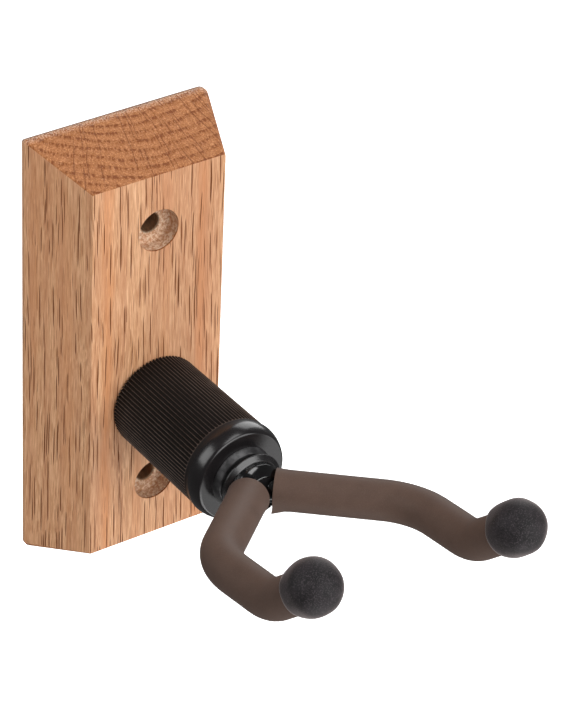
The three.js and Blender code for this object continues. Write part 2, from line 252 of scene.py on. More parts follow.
def spin_outline(bm, outline, steps, closed=False):
    """Spins [radius, reach, rounding] points, in mm, round the -Y axis at the axis height."""
    verts = [bm.verts.new((radius * MM, -reach * MM, AXIS_HEIGHT * MM)) for radius, reach, *_ in outline]
    pairs = list(zip(verts, verts[1:]))
    if closed:
        pairs.append((verts[-1], verts[0]))
    for pair in pairs:
        bm.edges.new(pair)
    roundings = {}
    for vert, (_, _, *rounding) in zip(verts, outline):
        if rounding:
            roundings.setdefault(rounding[0], []).append(vert)
    for width, corners in roundings.items():
        round_off(bm, corners, width, ROUNDING_SEGMENTS, "VERTICES")
    spin_wire(bm, (0, 0, AXIS_HEIGHT * MM), (0, 1, 0), steps)


def turned_piece(piece_name, outline, steps=96, closed=False):
    """An object made by spinning an outline round the barrel's axis."""
    bm = bmesh.new()
    spin_outline(bm, outline, steps, closed)
    return finish_mesh(piece_name, bm)


def carve(bm, new_radius):
    """Moves each point straight out from the axis, or in towards it. The rule gets the point's radius,
    its angle round the axis and its reach, and gives its new radius, in mm."""
    for vert in bm.verts:
        x, z = vert.co.x / MM, vert.co.z / MM - AXIS_HEIGHT
        old, angle = math.hypot(x, z), math.atan2(z, x)
        radius = new_radius(old, angle, -vert.co.y / MM)
        if radius != old:
            vert.co.x = radius * math.cos(angle) * MM
            vert.co.z = (radius * math.sin(angle) + AXIS_HEIGHT) * MM


def fit(piece, node, body):
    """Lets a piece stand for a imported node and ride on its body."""
    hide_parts(node)
    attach(piece, body)


# %% [markdown]
# ## The oak block
#
# The block is a short length of planed board with all four edges planed back. It starts as a cube. The
# four edges that run through its depth are bevelled round, then the front corners are drawn in, which
# makes the slopes and narrows the rounding towards the front, where it is crisp. A thin straight land
# stays along the back. Its corners aren't rounded alike, because sanding took more off some of them.

# %% Block
BLOCK_WIDTH = block_high.x - block_low.x
BLOCK_HEIGHT = block_high.z - block_low.z
BLOCK_DEPTH = block_high.y - block_low.y
SIDE_BEVEL = 8.6
END_BEVEL = 8.4
BACK_LAND = 1.3
BACK_ROUNDING = {(-1, 1): 0.7, (1, 1): 3.1, (-1, -1): 2.3, (1, -1): 2.3}
FRONT_ROUNDING = 0.6


def corner_of(x, z):
    """Which corner of the block a point is nearest to: -1 or 1 sideways, -1 or 1 up."""
    return (1 if x > 0 else -1, 1 if z > 0 else -1)


def drawn_in(x, z):
    """Where a point on the back outline goes when the outline is drawn in to the front's."""
    side, end = corner_of(x, z)
    old = BACK_ROUNDING[side, end]
    shrink = FRONT_ROUNDING / old
    from_corner_x = x - side * (BLOCK_WIDTH / 2 - old)
    from_corner_z = z - end * (BLOCK_HEIGHT / 2 - old)
    corner_x = side * (BLOCK_WIDTH / 2 - SIDE_BEVEL - FRONT_ROUNDING)
    corner_z = end * (BLOCK_HEIGHT / 2 - END_BEVEL - FRONT_ROUNDING)
    return corner_x + from_corner_x * shrink, corner_z + from_corner_z * shrink


bm = bmesh.new()
bmesh.ops.create_cube(bm, size=1)
bmesh.ops.scale(bm, vec=(BLOCK_WIDTH * MM, BLOCK_DEPTH * MM, BLOCK_HEIGHT * MM), verts=bm.verts)
bmesh.ops.translate(bm, vec=(0, -BLOCK_DEPTH / 2 * MM, 0), verts=bm.verts)
depth_edges = [e for e in bm.edges if abs(e.verts[0].co.y - e.verts[1].co.y) > MM]
corners = {corner_of(edge.verts[0].co.x, edge.verts[0].co.z): edge for edge in depth_edges}
for corner, edge in corners.items():
    round_off(bm, [edge], BACK_ROUNDING[corner], 6)
bmesh.ops.bisect_plane(bm, geom=bm.verts[:] + bm.edges[:] + bm.faces[:], plane_co=(0, -BACK_LAND * MM, 0),
                       plane_no=(0, 1, 0), dist=MERGE)
for vert in bm.verts:
    reach = -vert.co.y / MM
    if reach > BLOCK_DEPTH - NEAR:
        x, z = drawn_in(vert.co.x / MM, vert.co.z / MM)
        vert.co.x, vert.co.z = x * MM, z * MM
bmesh.ops.recalc_face_normals(bm, faces=bm.faces)
oak_block = finish_mesh("oak_block", bm)
print("block:", [round(x, 2) for x in (BLOCK_WIDTH, BLOCK_DEPTH, BLOCK_HEIGHT)])

# %% [markdown]
# The block is drilled with a Boolean modifier, as on a bench. A screw hole has three parts: a
# flat-bottomed counterbore for the screw's head, a small cone where the drill's point went in, and a
# narrow hole for the shank. One spun cutter has all three. The bolt's hole has a wide recess at the back.
# A Bevel modifier then sands every sharp edge, and the result becomes the block's own mesh.

# %% Screw holes and bolt recess
SCREW_HEIGHTS = (43.3, -42.5)
SHANK_RADIUS = 3
HEAD_RADIUS = 6.6
HEAD_DEPTH = 4.8
DRILL_CONE = 0.5
BOLT_HOLE_RADIUS = 4.4
RECESS_RADIUS = 9.7
RECESS_DEPTH = 9.6
OVERSHOOT = 1
EDGE_SANDING = 0.25
SANDED_ANGLE = 18


def drill(outline, height):
    """A cutter that is spun on the barrel's axis from behind to past the front, then moved to its height."""
    first_radius, last_radius = outline[0][0], outline[-1][0]
    front = BLOCK_DEPTH + OVERSHOOT
    whole = [(0, -OVERSHOOT), (first_radius, -OVERSHOOT), *outline, (last_radius, front), (0, front)]
    cutter = turned_piece("cutter", whole, steps=72)
    cutter.data.transform(Matrix.Translation((0, 0, (height - AXIS_HEIGHT) * MM)))
    return cutter


def screw_cutter(height):
    seat = BLOCK_DEPTH - HEAD_DEPTH
    return drill([
        (SHANK_RADIUS, seat - DRILL_CONE),
        (SHANK_RADIUS + DRILL_CONE, seat, 0.2),
        (HEAD_RADIUS, seat, 0.35),
    ], height)


def cut_and_sand(piece, cutters, sanding):
    """Cuts each cutter out of a piece, then rounds every sharp edge by the sanding, in mm."""
    for number, cutter in enumerate(cutters):
        boolean = piece.modifiers.new(f"cut_{number}", "BOOLEAN")
        boolean.operation = "DIFFERENCE"
        boolean.solver = "EXACT"
        boolean.object = cutter
    rounding = piece.modifiers.new("sanding", "BEVEL")
    rounding.width = sanding * MM
    rounding.segments = 3
    rounding.limit_method = "ANGLE"
    rounding.angle_limit = SANDED_ANGLE * DEGREE
    rounding.miter_outer = "MITER_ARC"
    bpy.context.view_layer.update()
    depsgraph = bpy.context.evaluated_depsgraph_get()
    result = bpy.data.meshes.new_from_object(piece.evaluated_get(depsgraph))
    piece.modifiers.clear()
    piece.data = result
    for cutter in cutters:
        bpy.data.objects.remove(cutter)
    smooth(piece)


bolt_cutter = drill([(RECESS_RADIUS, RECESS_DEPTH, 0.3), (BOLT_HOLE_RADIUS, RECESS_DEPTH)], AXIS_HEIGHT)
cut_and_sand(oak_block, [screw_cutter(height) for height in SCREW_HEIGHTS] + [bolt_cutter], EDGE_SANDING)
fit(oak_block, "wood_base", "base")
print("oak block faces:", len(oak_block.data.polygons))

# %% [markdown]
# ## The ribbed barrel
#
# The barrel is a moulding with eighty straight ribs and a smooth collar. A plain turned shape has eight
# columns of points for each rib, and the points between ribs are moved in towards the axis, so grooves
# appear. The depth fades out in the last fraction of a millimetre before the collar. The collar rises in
# a short slope, then curves in more and more towards its front edge.

# %% Barrel
RIBS = 80
COLUMNS_PER_RIB = 8
RIB_DEPTH = 0.6
RIB_ROUNDNESS = 0.8
RIB_FADE = 0.7
REAR_RADIUS = 14.45
DRAFT = 0.0095
COLLAR_LENGTH = 6.9
COLLAR_RADIUS = 15.12
COLLAR_SLOPE = 2.2
COLLAR_CURVE_STEPS = 10
COLLAR_CURVE_POWER = 2.2
FRONT_EDGE_RADIUS = 13.93
BORE_RADIUS = 8.6
BORE_FLOOR = 41.8
POCKET_RADIUS = 6.3
POCKET_FRONT = 38.1
rib_end = BARREL_FRONT - COLLAR_LENGTH
collar_start = rib_end + COLLAR_SLOPE


def barrel_point(reach):
    """A point on the barrel's skin, which widens a little towards the front so that its mould lets go."""
    return REAR_RADIUS + DRAFT * (reach - BARREL_REAR), reach


def ribbed(radius, angle, reach):
    """The rule that carves the grooves."""
    if radius < REAR_RADIUS - 1 or reach > rib_end:
        return radius
    fade = min(1, (rib_end - reach) / RIB_FADE)
    groove = abs(math.sin(angle * RIBS / 2)) ** RIB_ROUNDNESS
    return radius - RIB_DEPTH * fade * groove


collar_curve = []
for i in range(1, COLLAR_CURVE_STEPS):
    share = i / COLLAR_CURVE_STEPS
    drop = (COLLAR_RADIUS - FRONT_EDGE_RADIUS) * share ** COLLAR_CURVE_POWER
    collar_curve.append((COLLAR_RADIUS - drop, collar_start + (BARREL_FRONT - collar_start) * share))
skin_reaches = (BARREL_REAR + 0.5, BARREL_REAR + 1, rib_end - RIB_FADE, rib_end - RIB_FADE / 2, rib_end)
bm = bmesh.new()
spin_outline(bm, [
    (BOLT_HOLE_RADIUS, BORE_FLOOR),
    (BOLT_HOLE_RADIUS, POCKET_FRONT),
    (POCKET_RADIUS, POCKET_FRONT),
    (POCKET_RADIUS, BARREL_REAR, 0.2),
    (REAR_RADIUS - 0.35, BARREL_REAR, 0.15),
    *[barrel_point(reach) for reach in skin_reaches],
    (barrel_point(rib_end)[0] + 0.02, rib_end + 0.5),
    (COLLAR_RADIUS, collar_start, 0.9),
    *collar_curve,
    (FRONT_EDGE_RADIUS, BARREL_FRONT, 0.55),
    (BORE_RADIUS, BARREL_FRONT, 0.2),
    (BORE_RADIUS, BORE_FLOOR, 0.4),
], RIBS * COLUMNS_PER_RIB, closed=True)
carve(bm, ribbed)
ribbed_barrel = finish_mesh("ribbed_barrel", bm, angle=50)
fit(ribbed_barrel, "barrel", "base")
print("barrel faces:", len(ribbed_barrel.data.polygons))

# %% [markdown]
# ## The bush and the washers
#
# These are small turned rings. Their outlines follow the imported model's boxes, so a ring's outer radius
# and its two ends are where the real fit needs them. The disc spring is a ring whose outline leans, which
# makes the flat cone that presses the swivel together.

# %% Bush, washers and disc spring
JOURNAL_BORE = 5.3
BUSH_FLANGE_RADIUS = 9.65
BUSH_FLANGE = 2.1
BUSH_CHAMFER = 0.95
BUSH_SHANK_RADIUS = 8.3
BUSH_SHANK = 8
SPRING_BORE = 4.3
SPRING_THICKNESS = 0.9


def plain_ring(piece_name, node, bore, rounding):
    """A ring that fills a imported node, with rounded corners."""
    outer, rear, front = span(node)
    outline = [(radius, reach, rounding) for radius, reach in
               ((bore, rear), (outer, rear), (outer, front), (bore, front))]
    return turned_piece(piece_name, outline, closed=True)


bush_rear = BARREL_FRONT - BUSH_SHANK
bush_front = BARREL_FRONT + BUSH_FLANGE
bush = turned_piece("bush", [
    (JOURNAL_BORE, bush_rear, 0.3),
    (BUSH_SHANK_RADIUS, bush_rear, 0.4),
    (BUSH_SHANK_RADIUS, BARREL_FRONT),
    (BUSH_FLANGE_RADIUS, BARREL_FRONT, 0.1),
    (BUSH_FLANGE_RADIUS - 0.1, BARREL_FRONT + 0.5, 0.3),
    (BUSH_FLANGE_RADIUS - BUSH_CHAMFER, bush_front, 0.35),
    (JOURNAL_BORE, bush_front, 0.3),
], steps=128, closed=True)
slip_ring = plain_ring("slip_ring", "slip_washer", JOURNAL_BORE, 0.2)
thrust_ring = plain_ring("thrust_ring", "thrust_washer", JOURNAL_BORE, 0.25)
spring_radius, spring_rear, spring_front = span("disc_spring")
cone_spring = turned_piece("cone_spring", [
    (SPRING_BORE, spring_rear, 0.2),
    (spring_radius, spring_front - SPRING_THICKNESS, 0.2),
    (spring_radius, spring_front, 0.2),
    (SPRING_BORE, spring_rear + SPRING_THICKNESS, 0.2),
], closed=True)
fit(bush, "front_bush", "base")
fit(slip_ring, "slip_washer", "yoke")
fit(thrust_ring, "thrust_washer", "yoke")
fit(cone_spring, "disc_spring", "yoke")
print("bush front at reach", round(bush_front, 2))

# %% [markdown]
# ## Screw threads and hexagons
#
# A thread is cut into a turned rod by moving its points in and out on a helix: the groove's depth
# depends on the distance along the rod plus a share of the turn. A hexagon is made the same way, by
# moving a turned disc's points in to the nearest flat; a cone limits the corners, as the chamfer on a
# real bolt head or nut does.

# %% Thread and hexagon tools
ROWS_PER_PITCH = 8
THREAD_PITCH = 1.25
THREAD_DEPTH = 0.65
HEX_FLATS = 13
HEX_FACE_SHARE = 0.96
HEX_CHAMFER_ANGLE = 30
HEX_CHAMFER_STEPS = 5


def thread_rows(radius, rear, front):
    """Outline points close enough together to hold a thread."""
    rows = int((front - rear) / THREAD_PITCH * ROWS_PER_PITCH)
    return [(radius, rear + (front - rear) * i / rows) for i in range(rows + 1)]


def cut_thread(bm, radius, rear, front):
    """Cuts a right-hand thread into the points of that radius between two reaches."""
    run_in = THREAD_PITCH / 2

    def threaded(here, angle, reach):
        if abs(here - radius) > 5 * NEAR or not rear <= reach <= front:
            return here
        phase = (reach / THREAD_PITCH + angle / FULL_TURN) % 1
        groove = 1 - abs(2 * phase - 1)
        fade = min(1, (reach - rear) / run_in, (front - reach) / run_in)
        return radius - THREAD_DEPTH * groove * fade

    carve(bm, threaded)


def hexagon_radius(angle):
    """The distance from the middle of a hexagon to its edge. One pair of corners points up and down."""
    from_flat = (angle + math.pi / 6) % (math.pi / 3) - math.pi / 6
    return HEX_FLATS / 2 / math.cos(from_flat)


def hexagon_rows(rear, front, chamfer_front):
    """Outline points for a hexagonal head or nut with a chamfered rear, as (largest radius, reach)."""
    corner = HEX_FLATS / math.sqrt(3)
    face = HEX_FLATS / 2 * HEX_FACE_SHARE
    depth = (corner - face) * math.tan(HEX_CHAMFER_ANGLE * DEGREE)
    shares = [i / HEX_CHAMFER_STEPS for i in range(HEX_CHAMFER_STEPS + 1)]
    rows = [(face + (corner - face) * share, rear + depth * share) for share in shares]
    if not chamfer_front:
        return rows + [(corner, front)]
    return rows + [(corner - (corner - face) * share, front - depth * (1 - share)) for share in shares]


def cut_hexagon(bm, rear, front, inner):
    """Moves the points of a turned disc in to the flats of a hexagon."""
    def flattened(radius, angle, reach):
        on_disc = radius > inner and rear - NEAR <= reach <= front + NEAR
        return min(radius, hexagon_radius(angle)) if on_disc else radius

    carve(bm, flattened)


# %% [markdown]
# ## What holds the barrel to the block
#
# A hexagon bolt comes through the block from behind, with a split spring washer and a flat washer under
# its head, and screws into a knurled brass insert moulded into the barrel. Only the head and the washers
# show, in the recess in the block's back.

# %% Bolt and flat washer
BOLT_RADIUS = 4
BOLT_POINT = 0.8
UNTHREADED = 6
HEAD_SEAT_SHARE = 0.9
HARDWARE_BORE = 4.3
split_outer, split_rear, split_front = span("base_spring_washer")
_, head_rear, bolt_tip = span("base_bolt")
head_front = split_rear
thread_start = BLOCK_DEPTH - UNTHREADED

bm = bmesh.new()
spin_outline(bm, [
    (0, head_rear),
    *hexagon_rows(head_rear, head_front, chamfer_front=False),
    (HEX_FLATS / 2 * HEAD_SEAT_SHARE, head_front),
    (BOLT_RADIUS, head_front, 0.3),
    *thread_rows(BOLT_RADIUS, thread_start, bolt_tip - BOLT_POINT),
    (BOLT_RADIUS - BOLT_POINT, bolt_tip, 0.2),
    (0, bolt_tip),
], steps=96)
cut_hexagon(bm, head_rear, head_front, BOLT_RADIUS + 0.5)
cut_thread(bm, BOLT_RADIUS, thread_start, bolt_tip - BOLT_POINT)
hex_bolt = finish_mesh("hex_bolt", bm)
flat_washer = plain_ring("flat_washer", "base_washer", HARDWARE_BORE, 0.2)
fit(hex_bolt, "base_bolt", "base")
fit(flat_washer, "base_washer", "base")
print("bolt from reach", round(head_rear, 2), "to", round(bolt_tip, 2))

# %% [markdown]
# A split washer is one coil of square wire. Its section is a filled face, so the spin makes a solid with
# two cut ends, and a small move at each step makes the coil rise.

# %% Split washer
SPLIT_GAP = 8 * DEGREE
SPLIT_RISE = 0.5
SPLIT_STEPS = 60
bm = bmesh.new()
low_reach, high_reach = split_rear + SPLIT_RISE, split_front - SPLIT_RISE / 2
section = ((HARDWARE_BORE, low_reach), (split_outer, low_reach), (split_outer, high_reach),
           (HARDWARE_BORE, high_reach))
bm.faces.new([bm.verts.new((radius * MM, -reach * MM, AXIS_HEIGHT * MM)) for radius, reach in section])
round_off(bm, bm.verts[:], 0.2, 2, "VERTICES")
bmesh.ops.spin(bm, geom=bm.faces[:], cent=(0, 0, AXIS_HEIGHT * MM), axis=(0, 1, 0),
               dvec=(0, SPLIT_RISE * MM / SPLIT_STEPS, 0), angle=FULL_TURN - SPLIT_GAP, steps=SPLIT_STEPS)
bmesh.ops.recalc_face_normals(bm, faces=bm.faces)
split_washer = finish_mesh("split_washer", bm)
fit(split_washer, "base_spring_washer", "base")
print("split washer faces:", len(split_washer.data.polygons))

# %% [markdown]
# The insert has two knurled bands, which the moulding grips, and a plain waist between them. The knurls
# are waves round the bands.

# %% Threaded insert
KNURLS = 48
COLUMNS_PER_KNURL = 4
KNURL_DEPTH = 0.25
INSERT_RADIUS = 6
WAIST_RADIUS = 5.4
WAIST_SLOPE = 0.3
_, insert_rear, insert_front = span("barrel_insert")
third = (insert_front - insert_rear) / 3


def knurled(radius, angle, reach):
    """The rule that carves the knurls: waves round whatever stands out past the waist."""
    if radius <= (INSERT_RADIUS + WAIST_RADIUS) / 2:
        return radius
    return radius - KNURL_DEPTH * (0.5 - 0.5 * math.cos(angle * KNURLS))


bm = bmesh.new()
spin_outline(bm, [
    (HARDWARE_BORE, insert_rear, 0.2),
    (INSERT_RADIUS, insert_rear, 0.2),
    (INSERT_RADIUS, insert_rear + third, 0.1),
    (WAIST_RADIUS, insert_rear + third + WAIST_SLOPE, 0.1),
    (WAIST_RADIUS, insert_front - third - WAIST_SLOPE, 0.1),
    (INSERT_RADIUS, insert_front - third, 0.1),
    (INSERT_RADIUS, insert_front, 0.2),
    (HARDWARE_BORE, insert_front, 0.2),
], KNURLS * COLUMNS_PER_KNURL, closed=True)
carve(bm, knurled)
brass_insert = finish_mesh("brass_insert", bm)
fit(brass_insert, "barrel_insert", "base")
print("insert from reach", round(insert_rear, 2), "to", round(insert_front, 2))

# %% [markdown]
# ## The swivel stem
#
# The stem turns in the bush. It is threaded behind, and has a flange in front whose face slopes up to
# the hub. The hub has three fine tool grooves round its foot and a shoulder that narrows to a flat cap,
# and the rods are welded to that cap. The three have different finishes, so they are three turned pieces
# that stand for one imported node.

# %% Stem, hub and weld bed
JOURNAL_RADIUS = 5
THREAD_RADIUS = 4
STEM_POINT = 0.6
CLEARANCE = 0.3
FLANGE_RADIUS = 9.8
FLANGE_THICKNESS = 1.5
HUB_RADIUS = 8.15
HUB_FRONT = 4.4
HUB_GROOVES = 3
GROOVE_DEPTH = 0.22
GROOVE_PITCH = 0.42
CAP_INSET = 2.2
WELD_CROWN = 0.3
_, stem_rear, _ = span("swivel_stem")
thread_front = span("thrust_washer")[1] - CLEARANCE
flange_front = -CROSSING.y - CLEARANCE
flange_rear = flange_front - FLANGE_THICKNESS
hub_foot = flange_front + 0.4
grooves = []
for i in range(HUB_GROOVES):
    start = hub_foot + i * GROOVE_PITCH
    grooves += [(HUB_RADIUS, start, 0.06), (HUB_RADIUS - GROOVE_DEPTH, start + GROOVE_PITCH / 2, 0.06)]
hub_start = hub_foot + HUB_GROOVES * GROOVE_PITCH

bm = bmesh.new()
spin_outline(bm, [
    (0, stem_rear),
    (THREAD_RADIUS - STEM_POINT, stem_rear, 0.15),
    *thread_rows(THREAD_RADIUS, stem_rear + STEM_POINT, thread_front - 0.4),
    (THREAD_RADIUS, thread_front),
    (JOURNAL_RADIUS, thread_front, 0.2),
    (JOURNAL_RADIUS, flange_rear, 0.2),
    (FLANGE_RADIUS - 0.3, flange_rear, 0.1),
    (FLANGE_RADIUS, flange_rear + 0.3, 0.15),
    (FLANGE_RADIUS, flange_rear + 0.6, 0.2),
    (HUB_RADIUS + 0.35, flange_front + 0.2, 0.15),
    (HUB_RADIUS + 0.1, hub_foot - 0.1, 0.05),
    (0, hub_foot - 0.1),
], steps=144)
cut_thread(bm, THREAD_RADIUS, stem_rear + STEM_POINT, thread_front - 0.4)
stem = finish_mesh("stem", bm)
cap_radius = HUB_RADIUS - CAP_INSET
cap_reach = hub_foot + HUB_FRONT
hub = turned_piece("hub", [
    (0, hub_foot - 0.4),
    (HUB_RADIUS - GROOVE_DEPTH, hub_foot - 0.4),
    *grooves,
    (HUB_RADIUS - 0.05, hub_start, 0.1),
    (HUB_RADIUS - 0.55, hub_start + 0.95, 0.6),
    (HUB_RADIUS - 1.45, hub_start + 2.1, 0.8),
    (cap_radius, cap_reach, 0.2),
    (0, cap_reach),
])
weld_bed = turned_piece("weld_bed", [
    (0, cap_reach - WELD_CROWN),
    (cap_radius - 0.5, cap_reach - WELD_CROWN),
    (cap_radius - 0.3, cap_reach + 0.05, 0.1),
    (0, cap_reach + WELD_CROWN),
])
for piece in (stem, hub, weld_bed):
    fit(piece, "swivel_stem", "yoke")
print("stem from reach", round(stem_rear, 2), "to", round(cap_reach + WELD_CROWN, 2))

# %% [markdown]
# A lock nut holds the stem from behind, pressed against the disc spring. A nylon ring in a pocket at the
# nut's rear grips the thread, so the nut doesn't work loose as the yoke turns.

# %% Lock nut and nylon ring
RING_POCKET = 6
_, nut_rear, nut_front = span("lock_nut")
pocket_floor = span("lock_nut_ring")[2] + CLEARANCE
bm = bmesh.new()
spin_outline(bm, [
    (RING_POCKET, pocket_floor),
    (RING_POCKET, nut_rear, 0.15),
    *hexagon_rows(nut_rear, nut_front, chamfer_front=True),
    (HARDWARE_BORE + 0.5, nut_front, 0.1),
    (HARDWARE_BORE, nut_front - 0.5, 0.1),
    (HARDWARE_BORE, pocket_floor),
], steps=96, closed=True)
cut_hexagon(bm, nut_rear, nut_front, RING_POCKET + 0.05)
locking_nut = finish_mesh("locking_nut", bm)
nylon_ring = plain_ring("nylon_ring", "lock_nut_ring", HARDWARE_BORE, 0.3)
fit(locking_nut, "lock_nut", "yoke")
fit(nylon_ring, "lock_nut_ring", "yoke")
print("nut from reach", round(nut_rear, 2), "to", round(nut_front, 2))

# %% [markdown]
# ## The yoke's arms
#
# Each arm is a rod that leaves the hub sideways and forward, bends to run straight out, then bends up.
# The rod, the sleeve over it and the tip on its end all follow one line, so the line's corners are worked
# out once. The yoke stands a few degrees round from level, so all that is on an arm is swung at the end.

# %% The line of an arm
YOKE_SWING = 5.45 * DEGREE
YOKE_RISE = 7.2 * DEGREE
ARM_APART = 33.6
FIRST_CORNER = 30.9
SECOND_CORNER = 57.7
FIRST_BEND = 21
SECOND_BEND = 15.5
TIP_ANGLE = 42.2 * DEGREE
TIP_REACH = 21.9

swing = Matrix.Translation(CROSSING * MM) @ Matrix.Rotation(YOKE_SWING, 4, "Y")
swing = swing @ Matrix.Translation(-CROSSING * MM)
tip_direction = Vector((0, -math.cos(TIP_ANGLE), math.sin(TIP_ANGLE)))


def on_arm_plane(x, forward):
    """A point on the plane of the arms, which rises a little towards the front."""
    return CROSSING + Vector((x, -forward * math.cos(YOKE_RISE), forward * math.sin(YOKE_RISE)))


class Bend:
    """A round bend at a corner of the line: where it starts and ends, its centre, axis and angle."""

    def __init__(self, before, corner, after, radius):
        back_along = (before - corner).normalized()
        ahead = (after - corner).normalized()
        opening = back_along.angle(ahead)
        setback = radius / math.tan(opening / 2)
        self.start = corner + back_along * setback
        self.end = corner + ahead * setback
        self.centre = corner + (back_along + ahead).normalized() * radius / math.sin(opening / 2)
        self.axis = (-back_along).cross(ahead).normalized()
        self.angle = math.pi - opening


class Arm:
    """The line of one arm, for side -1 (left) or +1 (right)."""

    def __init__(self, side):
        first = on_arm_plane(side * ARM_APART, FIRST_CORNER)
        second = on_arm_plane(side * ARM_APART, SECOND_CORNER)
        self.direction = (first - CROSSING).normalized()
        self.tip = second + tip_direction * TIP_REACH
        self.outward = Bend(CROSSING, first, second, FIRST_BEND)
        self.upward = Bend(first, second, self.tip, SECOND_BEND)


def facing_along(place, direction):
    """A matrix that stands a shape made along Z at a place in mm, along a direction."""
    return Matrix.Translation(place * MM) @ direction.to_track_quat("Z", "Y").to_matrix().to_4x4()


arms = {"left": Arm(-1), "right": Arm(1)}
print("tip centres:", {word: [round(v, 1) for v in arm.tip] for word, arm in arms.items()})

# %% [markdown]
# A tube is made the way it would be in a bending jig: a circle is pushed out for the straight stretches
# and spun round a centre for the bends. So its section stays a true circle all the way.

# %% Push and bend a tube along an arm
STRAIGHT_STEP = 1.6
BEND_STEP = 4 * DEGREE


def push(bm, edges, move):
    """Extrudes a loop of edges along a straight line in short steps, and returns the last loop."""
    steps = max(1, round(move.length / STRAIGHT_STEP))
    for _ in range(steps):
        grown = bmesh.ops.extrude_edge_only(bm, edges=edges)["geom"]
        verts = [g for g in grown if isinstance(g, bmesh.types.BMVert)]
        edges = [g for g in grown if isinstance(g, bmesh.types.BMEdge)]
        bmesh.ops.translate(bm, vec=move * MM / steps, verts=verts)
    return edges


def bend(bm, edges, corner):
    """Spins a loop of edges round a bend's centre, and returns the last loop."""
    verts = list({v for e in edges for v in e.verts})
    steps = max(2, round(corner.angle / BEND_STEP))
    spun = bmesh.ops.spin(bm, geom=verts + edges, cent=corner.centre * MM, axis=corner.axis,
                          angle=corner.angle, steps=steps)
    return [g for g in spun["geom_last"] if isinstance(g, bmesh.types.BMEdge)]


def skin_along(bm, arm, radius, start, end, segments):
    """An open tube along an arm, from a distance past the crossing to one past the tip's middle.
    Returns its first and last loops."""
    first = CROSSING + arm.direction * start
    last = arm.tip + tip_direction * end
    made = bmesh.ops.create_circle(bm, cap_ends=False, segments=segments, radius=radius * MM,
                                   matrix=facing_along(first, arm.direction))
    begin = list({e for v in made["verts"] for e in v.link_edges})
    loop = push(bm, begin, arm.outward.start - first)
    loop = bend(bm, loop, arm.outward)
    loop = push(bm, loop, arm.upward.start - arm.outward.end)
    loop = bend(bm, loop, arm.upward)
    loop = push(bm, loop, last - arm.upward.end)
    return begin, loop


# %% [markdown]
# The rod is a solid bar, so both ends of its skin are filled and their rims are rounded. The weld is a
# ring of overlapping beads round the rod's foot: a thin ring whose thickness rises and falls.

# %% Rods and welds
ROD_RADIUS = 4
ROD_START = 4.2
ROD_PAST_TIP = 2
ROD_SEGMENTS = 40
WELD_BEADS = 13
STEPS_PER_BEAD = 6
WELD_REACH = 6.15
WELD_THICKNESS = 0.5
WELD_SEGMENTS = 12
THINNEST = 0.8
BEAD_RIPPLE = 0.3


def make_rod(word, arm):
    bm = bmesh.new()
    begin, end = skin_along(bm, arm, ROD_RADIUS, ROD_START, ROD_PAST_TIP, ROD_SEGMENTS)
    caps = []
    for loop in (begin, end):
        caps += bmesh.ops.contextual_create(bm, geom=loop)["faces"]
    bmesh.ops.recalc_face_normals(bm, faces=bm.faces)
    round_off(bm, [e for face in caps for e in face.edges], 0.4, 2)
    bmesh.ops.transform(bm, matrix=swing, verts=bm.verts)
    return finish_mesh(f"{word}_bar", bm)


def make_weld(word, arm):
    """A ring of weld beads round the rod where it meets the hub."""
    bm = bmesh.new()
    bmesh.ops.create_circle(bm, cap_ends=False, segments=WELD_SEGMENTS, radius=WELD_THICKNESS * MM)
    bmesh.ops.rotate(bm, cent=(0, 0, 0), matrix=Matrix.Rotation(math.pi / 2, 3, "X"), verts=bm.verts)
    bmesh.ops.translate(bm, vec=(ROD_RADIUS * MM, 0, 0), verts=bm.verts)
    spin_wire(bm, (0, 0, 0), (0, 0, 1), WELD_BEADS * STEPS_PER_BEAD)
    for vert in bm.verts:
        angle = math.atan2(vert.co.y, vert.co.x)
        ripple = abs(math.sin(angle * WELD_BEADS / 2))
        middle = Vector((math.cos(angle), math.sin(angle), 0)) * ROD_RADIUS * MM
        vert.co = middle + (vert.co - middle) * (THINNEST + BEAD_RIPPLE * ripple)
    place = facing_along(CROSSING + arm.direction * WELD_REACH, arm.direction)
    bmesh.ops.transform(bm, matrix=swing @ place, verts=bm.verts)
    return finish_mesh(f"{word}_weld", bm, angle=60)


rods, welds = {}, {}
for word, arm in arms.items():
    rods[word] = make_rod(word, arm)
    welds[word] = make_weld(word, arm)
    fit(rods[word], f"{word}_rod", "yoke")
    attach(welds[word], "yoke")
print("rods:", [len(rod.data.polygons) for rod in rods.values()])

# %% [markdown]
# A sleeve is rubber tubing. Its outer and inner skins are made one after the other and joined at both
# ends, and the cut ends' edges are rounded slightly. Tubing that is pushed over a bar swells a little at
# its cut end, and the right sleeve's end was left with a small folded lip at the bottom.

# %% Sleeves
SLEEVE_RADIUS = 5.9
SLEEVE_BORE = 4.25
SLEEVE_SEGMENTS = 64
SLEEVE_START = {"left": 6.7, "right": 6.1}
SLEEVE_IN_TIP = 2
TIP_REAR = 5.3
SWELL = 0.22
SWELL_LENGTH = 2.2
LIP = {"left": 0, "right": 1}
LIP_SIDE = Vector((-0.2, -0.5, -0.84))
LIP_DROP = 0.9
LIP_FOLD = 0.45
LIP_NARROWNESS = 14


